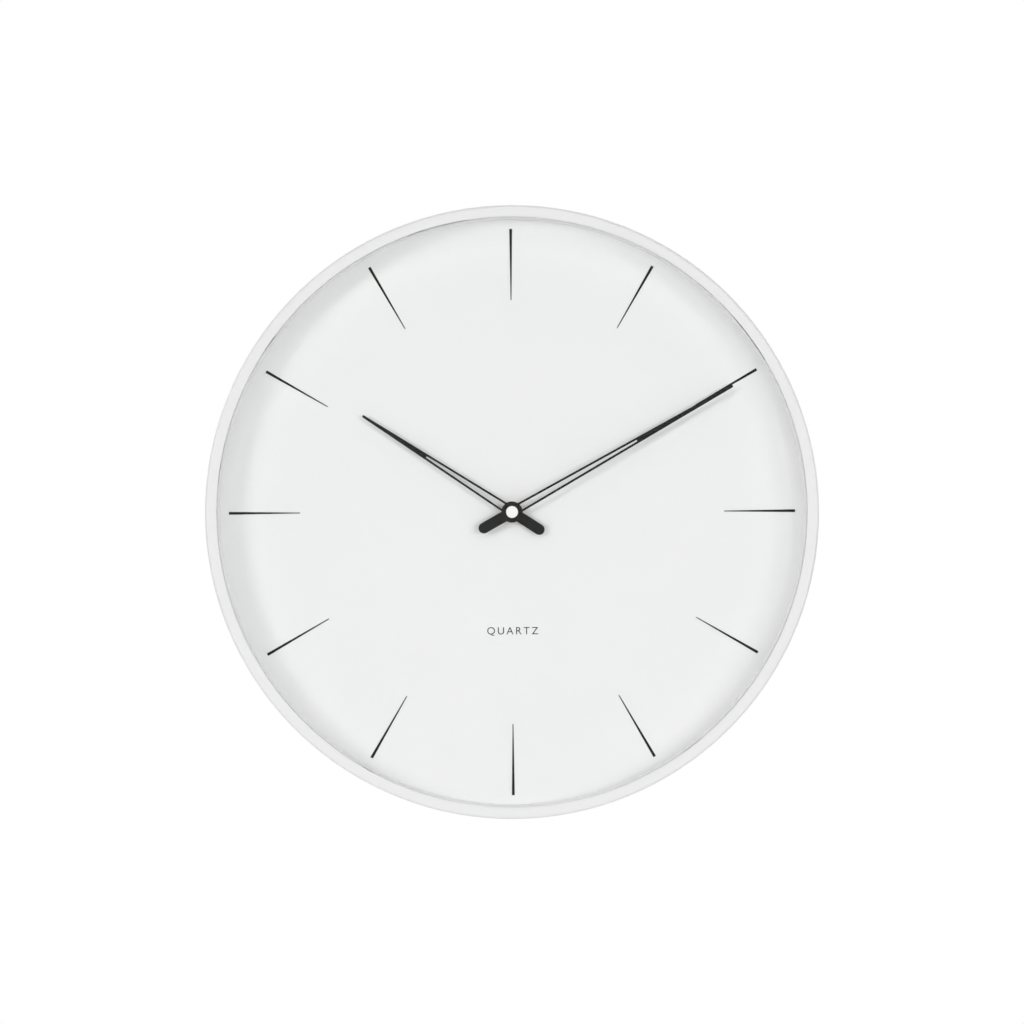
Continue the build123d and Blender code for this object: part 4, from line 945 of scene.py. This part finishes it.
hand_paint = Finish("satin_black_paint")
mist = hand_paint.noise(0.25 * MM, 2.0)
hand_paint.surface(
    {
        "Base Color": hand_paint.mix(mist, shade(6, 6, 7), shade(14, 14, 15)),
        "Roughness": mist * 0.15 + 0.45,
        "Normal": hand_paint.bump(mist, 0.008 * MM),
        "Specular IOR Level": 0.15,
    }
)
coat(hand_paint, "hour_hand", "minute_hand")

cap_plastic = Finish("gloss_white_cap")
cap_flow = cap_plastic.noise(2 * MM, 2.0)
cap_plastic.surface(
    {
        "Base Color": cap_plastic.mix(cap_flow, shade(244, 244, 243), shade(249, 249, 249)),
        "Roughness": cap_flow * 0.1 + 0.2,
        "Normal": cap_plastic.bump(cap_flow, 0.01 * MM),
    }
)
coat(cap_plastic, "centre_cap")


# ---- Studio ----
# The clock hangs in a white studio over a pale floor. Soft boxes stand beside and above the camera
# and, weaker, behind the clock, where the room is brightest. The camera looks straight at the dial.

FLOOR_DROP = 0.62
FLOOR_RADIUS = 1.7
FLOOR_STEPS = 96
SUBJECT_DISTANCE = 2.8
VIEW_WIDTH = 0.6666
CAMERA_ROLL = math.radians(0.27)
SENSOR_WIDTH = 36.0
FARTHEST_SEEN = 20
ROOM_FRONT = 0.25
ROOM_BACK_LOW = 0.2
ROOM_BACK_HIGH = 0.8
ROOM_BLEND = 0.3

floor_finish = Finish("pale_studio_floor")
dust = floor_finish.noise(80 * MM, 4.0)
floor_finish.surface(
    {
        "Base Color": floor_finish.mix(dust, shade(220, 220, 220), shade(226, 226, 226)),
        "Roughness": dust * 0.1 + 0.6,
    }
)
floor_mesh = bmesh.new()
bmesh.ops.create_circle(floor_mesh, cap_ends=True, segments=FLOOR_STEPS, radius=FLOOR_RADIUS)
floor_data = bpy.data.meshes.new("studio_floor")
floor_mesh.to_mesh(floor_data)
floor_mesh.free()
floor_data.transform(Matrix.Translation((0, 0, -FLOOR_DROP)))
floor_data.materials.append(floor_finish.material)
linked("studio_floor", floor_data)

SOFT_BOXES = {
    "camera_box": ((0.0, -3.0, 0.05), 1.2, 1.2, 3.3),
    "left_box": ((-1.7, -2.2, 0.3), 0.8, 0.8, 19.0),
    "left_inner_box": ((-0.95, -2.7, 0.2), 0.5, 0.6, 3.9),
    "right_box": ((1.7, -2.2, 0.2), 0.8, 0.8, 12.0),
    "right_inner_box": ((0.95, -2.7, 0.0), 0.5, 0.6, 10.6),
    "top_box": ((0.0, -2.2, 1.5), 1.0, 0.6, 5.6),
    "back_left_box": ((-1.5, 1.3, 0.6), 1.0, 1.0, 7.0),
    "back_right_box": ((1.5, 1.3, 0.6), 1.0, 1.0, 7.0),
    "back_top_box": ((0.0, 1.5, 1.8), 1.4, 0.8, 6.0),
}
for name, (place, width, height, watts) in SOFT_BOXES.items():
    light = bpy.data.lights.new(name, "AREA")
    light.shape = "RECTANGLE"
    light.size = width
    light.size_y = height
    light.energy = watts
    lamp = linked(name, light)
    aim = (-Vector(place)).to_track_quat("-Z", "Y")
    lamp.matrix_world = Matrix.Translation(place) @ aim.to_matrix().to_4x4()
    lamp.visible_camera = False

world = bpy.data.worlds.new("white_studio")
world.use_nodes = True
room = Graph(world.node_tree)
room.tree.nodes.clear()
facing = room.node("ShaderNodeTexCoord", {}, {}, "Generated")
behind = room.node("ShaderNodeSeparateXYZ", {}, {"Vector": facing}, 1).over(0.0, ROOM_BLEND)
above = room.node("ShaderNodeSeparateXYZ", {}, {"Vector": facing}, 2).over(0.0, ROOM_BLEND)
back_wall = above * (ROOM_BACK_HIGH - ROOM_BACK_LOW) + ROOM_BACK_LOW
strength = behind * (back_wall - ROOM_FRONT) + ROOM_FRONT
white = (1.0, 1.0, 1.0, 1.0)
fill = room.node("ShaderNodeBackground", {}, {"Color": white, "Strength": strength})
backdrop = room.node("ShaderNodeBackground", {}, {"Color": white, "Strength": 1.0})
seen = room.node("ShaderNodeLightPath", {}, {}, "Is Camera Ray")
both = room.node("ShaderNodeMixShader", {}, {0: seen, 1: fill, 2: backdrop})
room.node("ShaderNodeOutputWorld", {}, {"Surface": both})
bpy.context.scene.world = world
bpy.context.scene.view_settings.view_transform = "Standard"

lens = bpy.data.cameras.new("front_camera")
lens.sensor_width = SENSOR_WIDTH
lens.lens = SENSOR_WIDTH * SUBJECT_DISTANCE / VIEW_WIDTH
lens.clip_end = FARTHEST_SEEN
camera = linked("front_camera", lens)
camera.location = (0, cad_bounds[0].y - SUBJECT_DISTANCE, 0)
camera.rotation_euler = (math.pi / 2, CAMERA_ROLL, 0)
bpy.context.scene.camera = camera
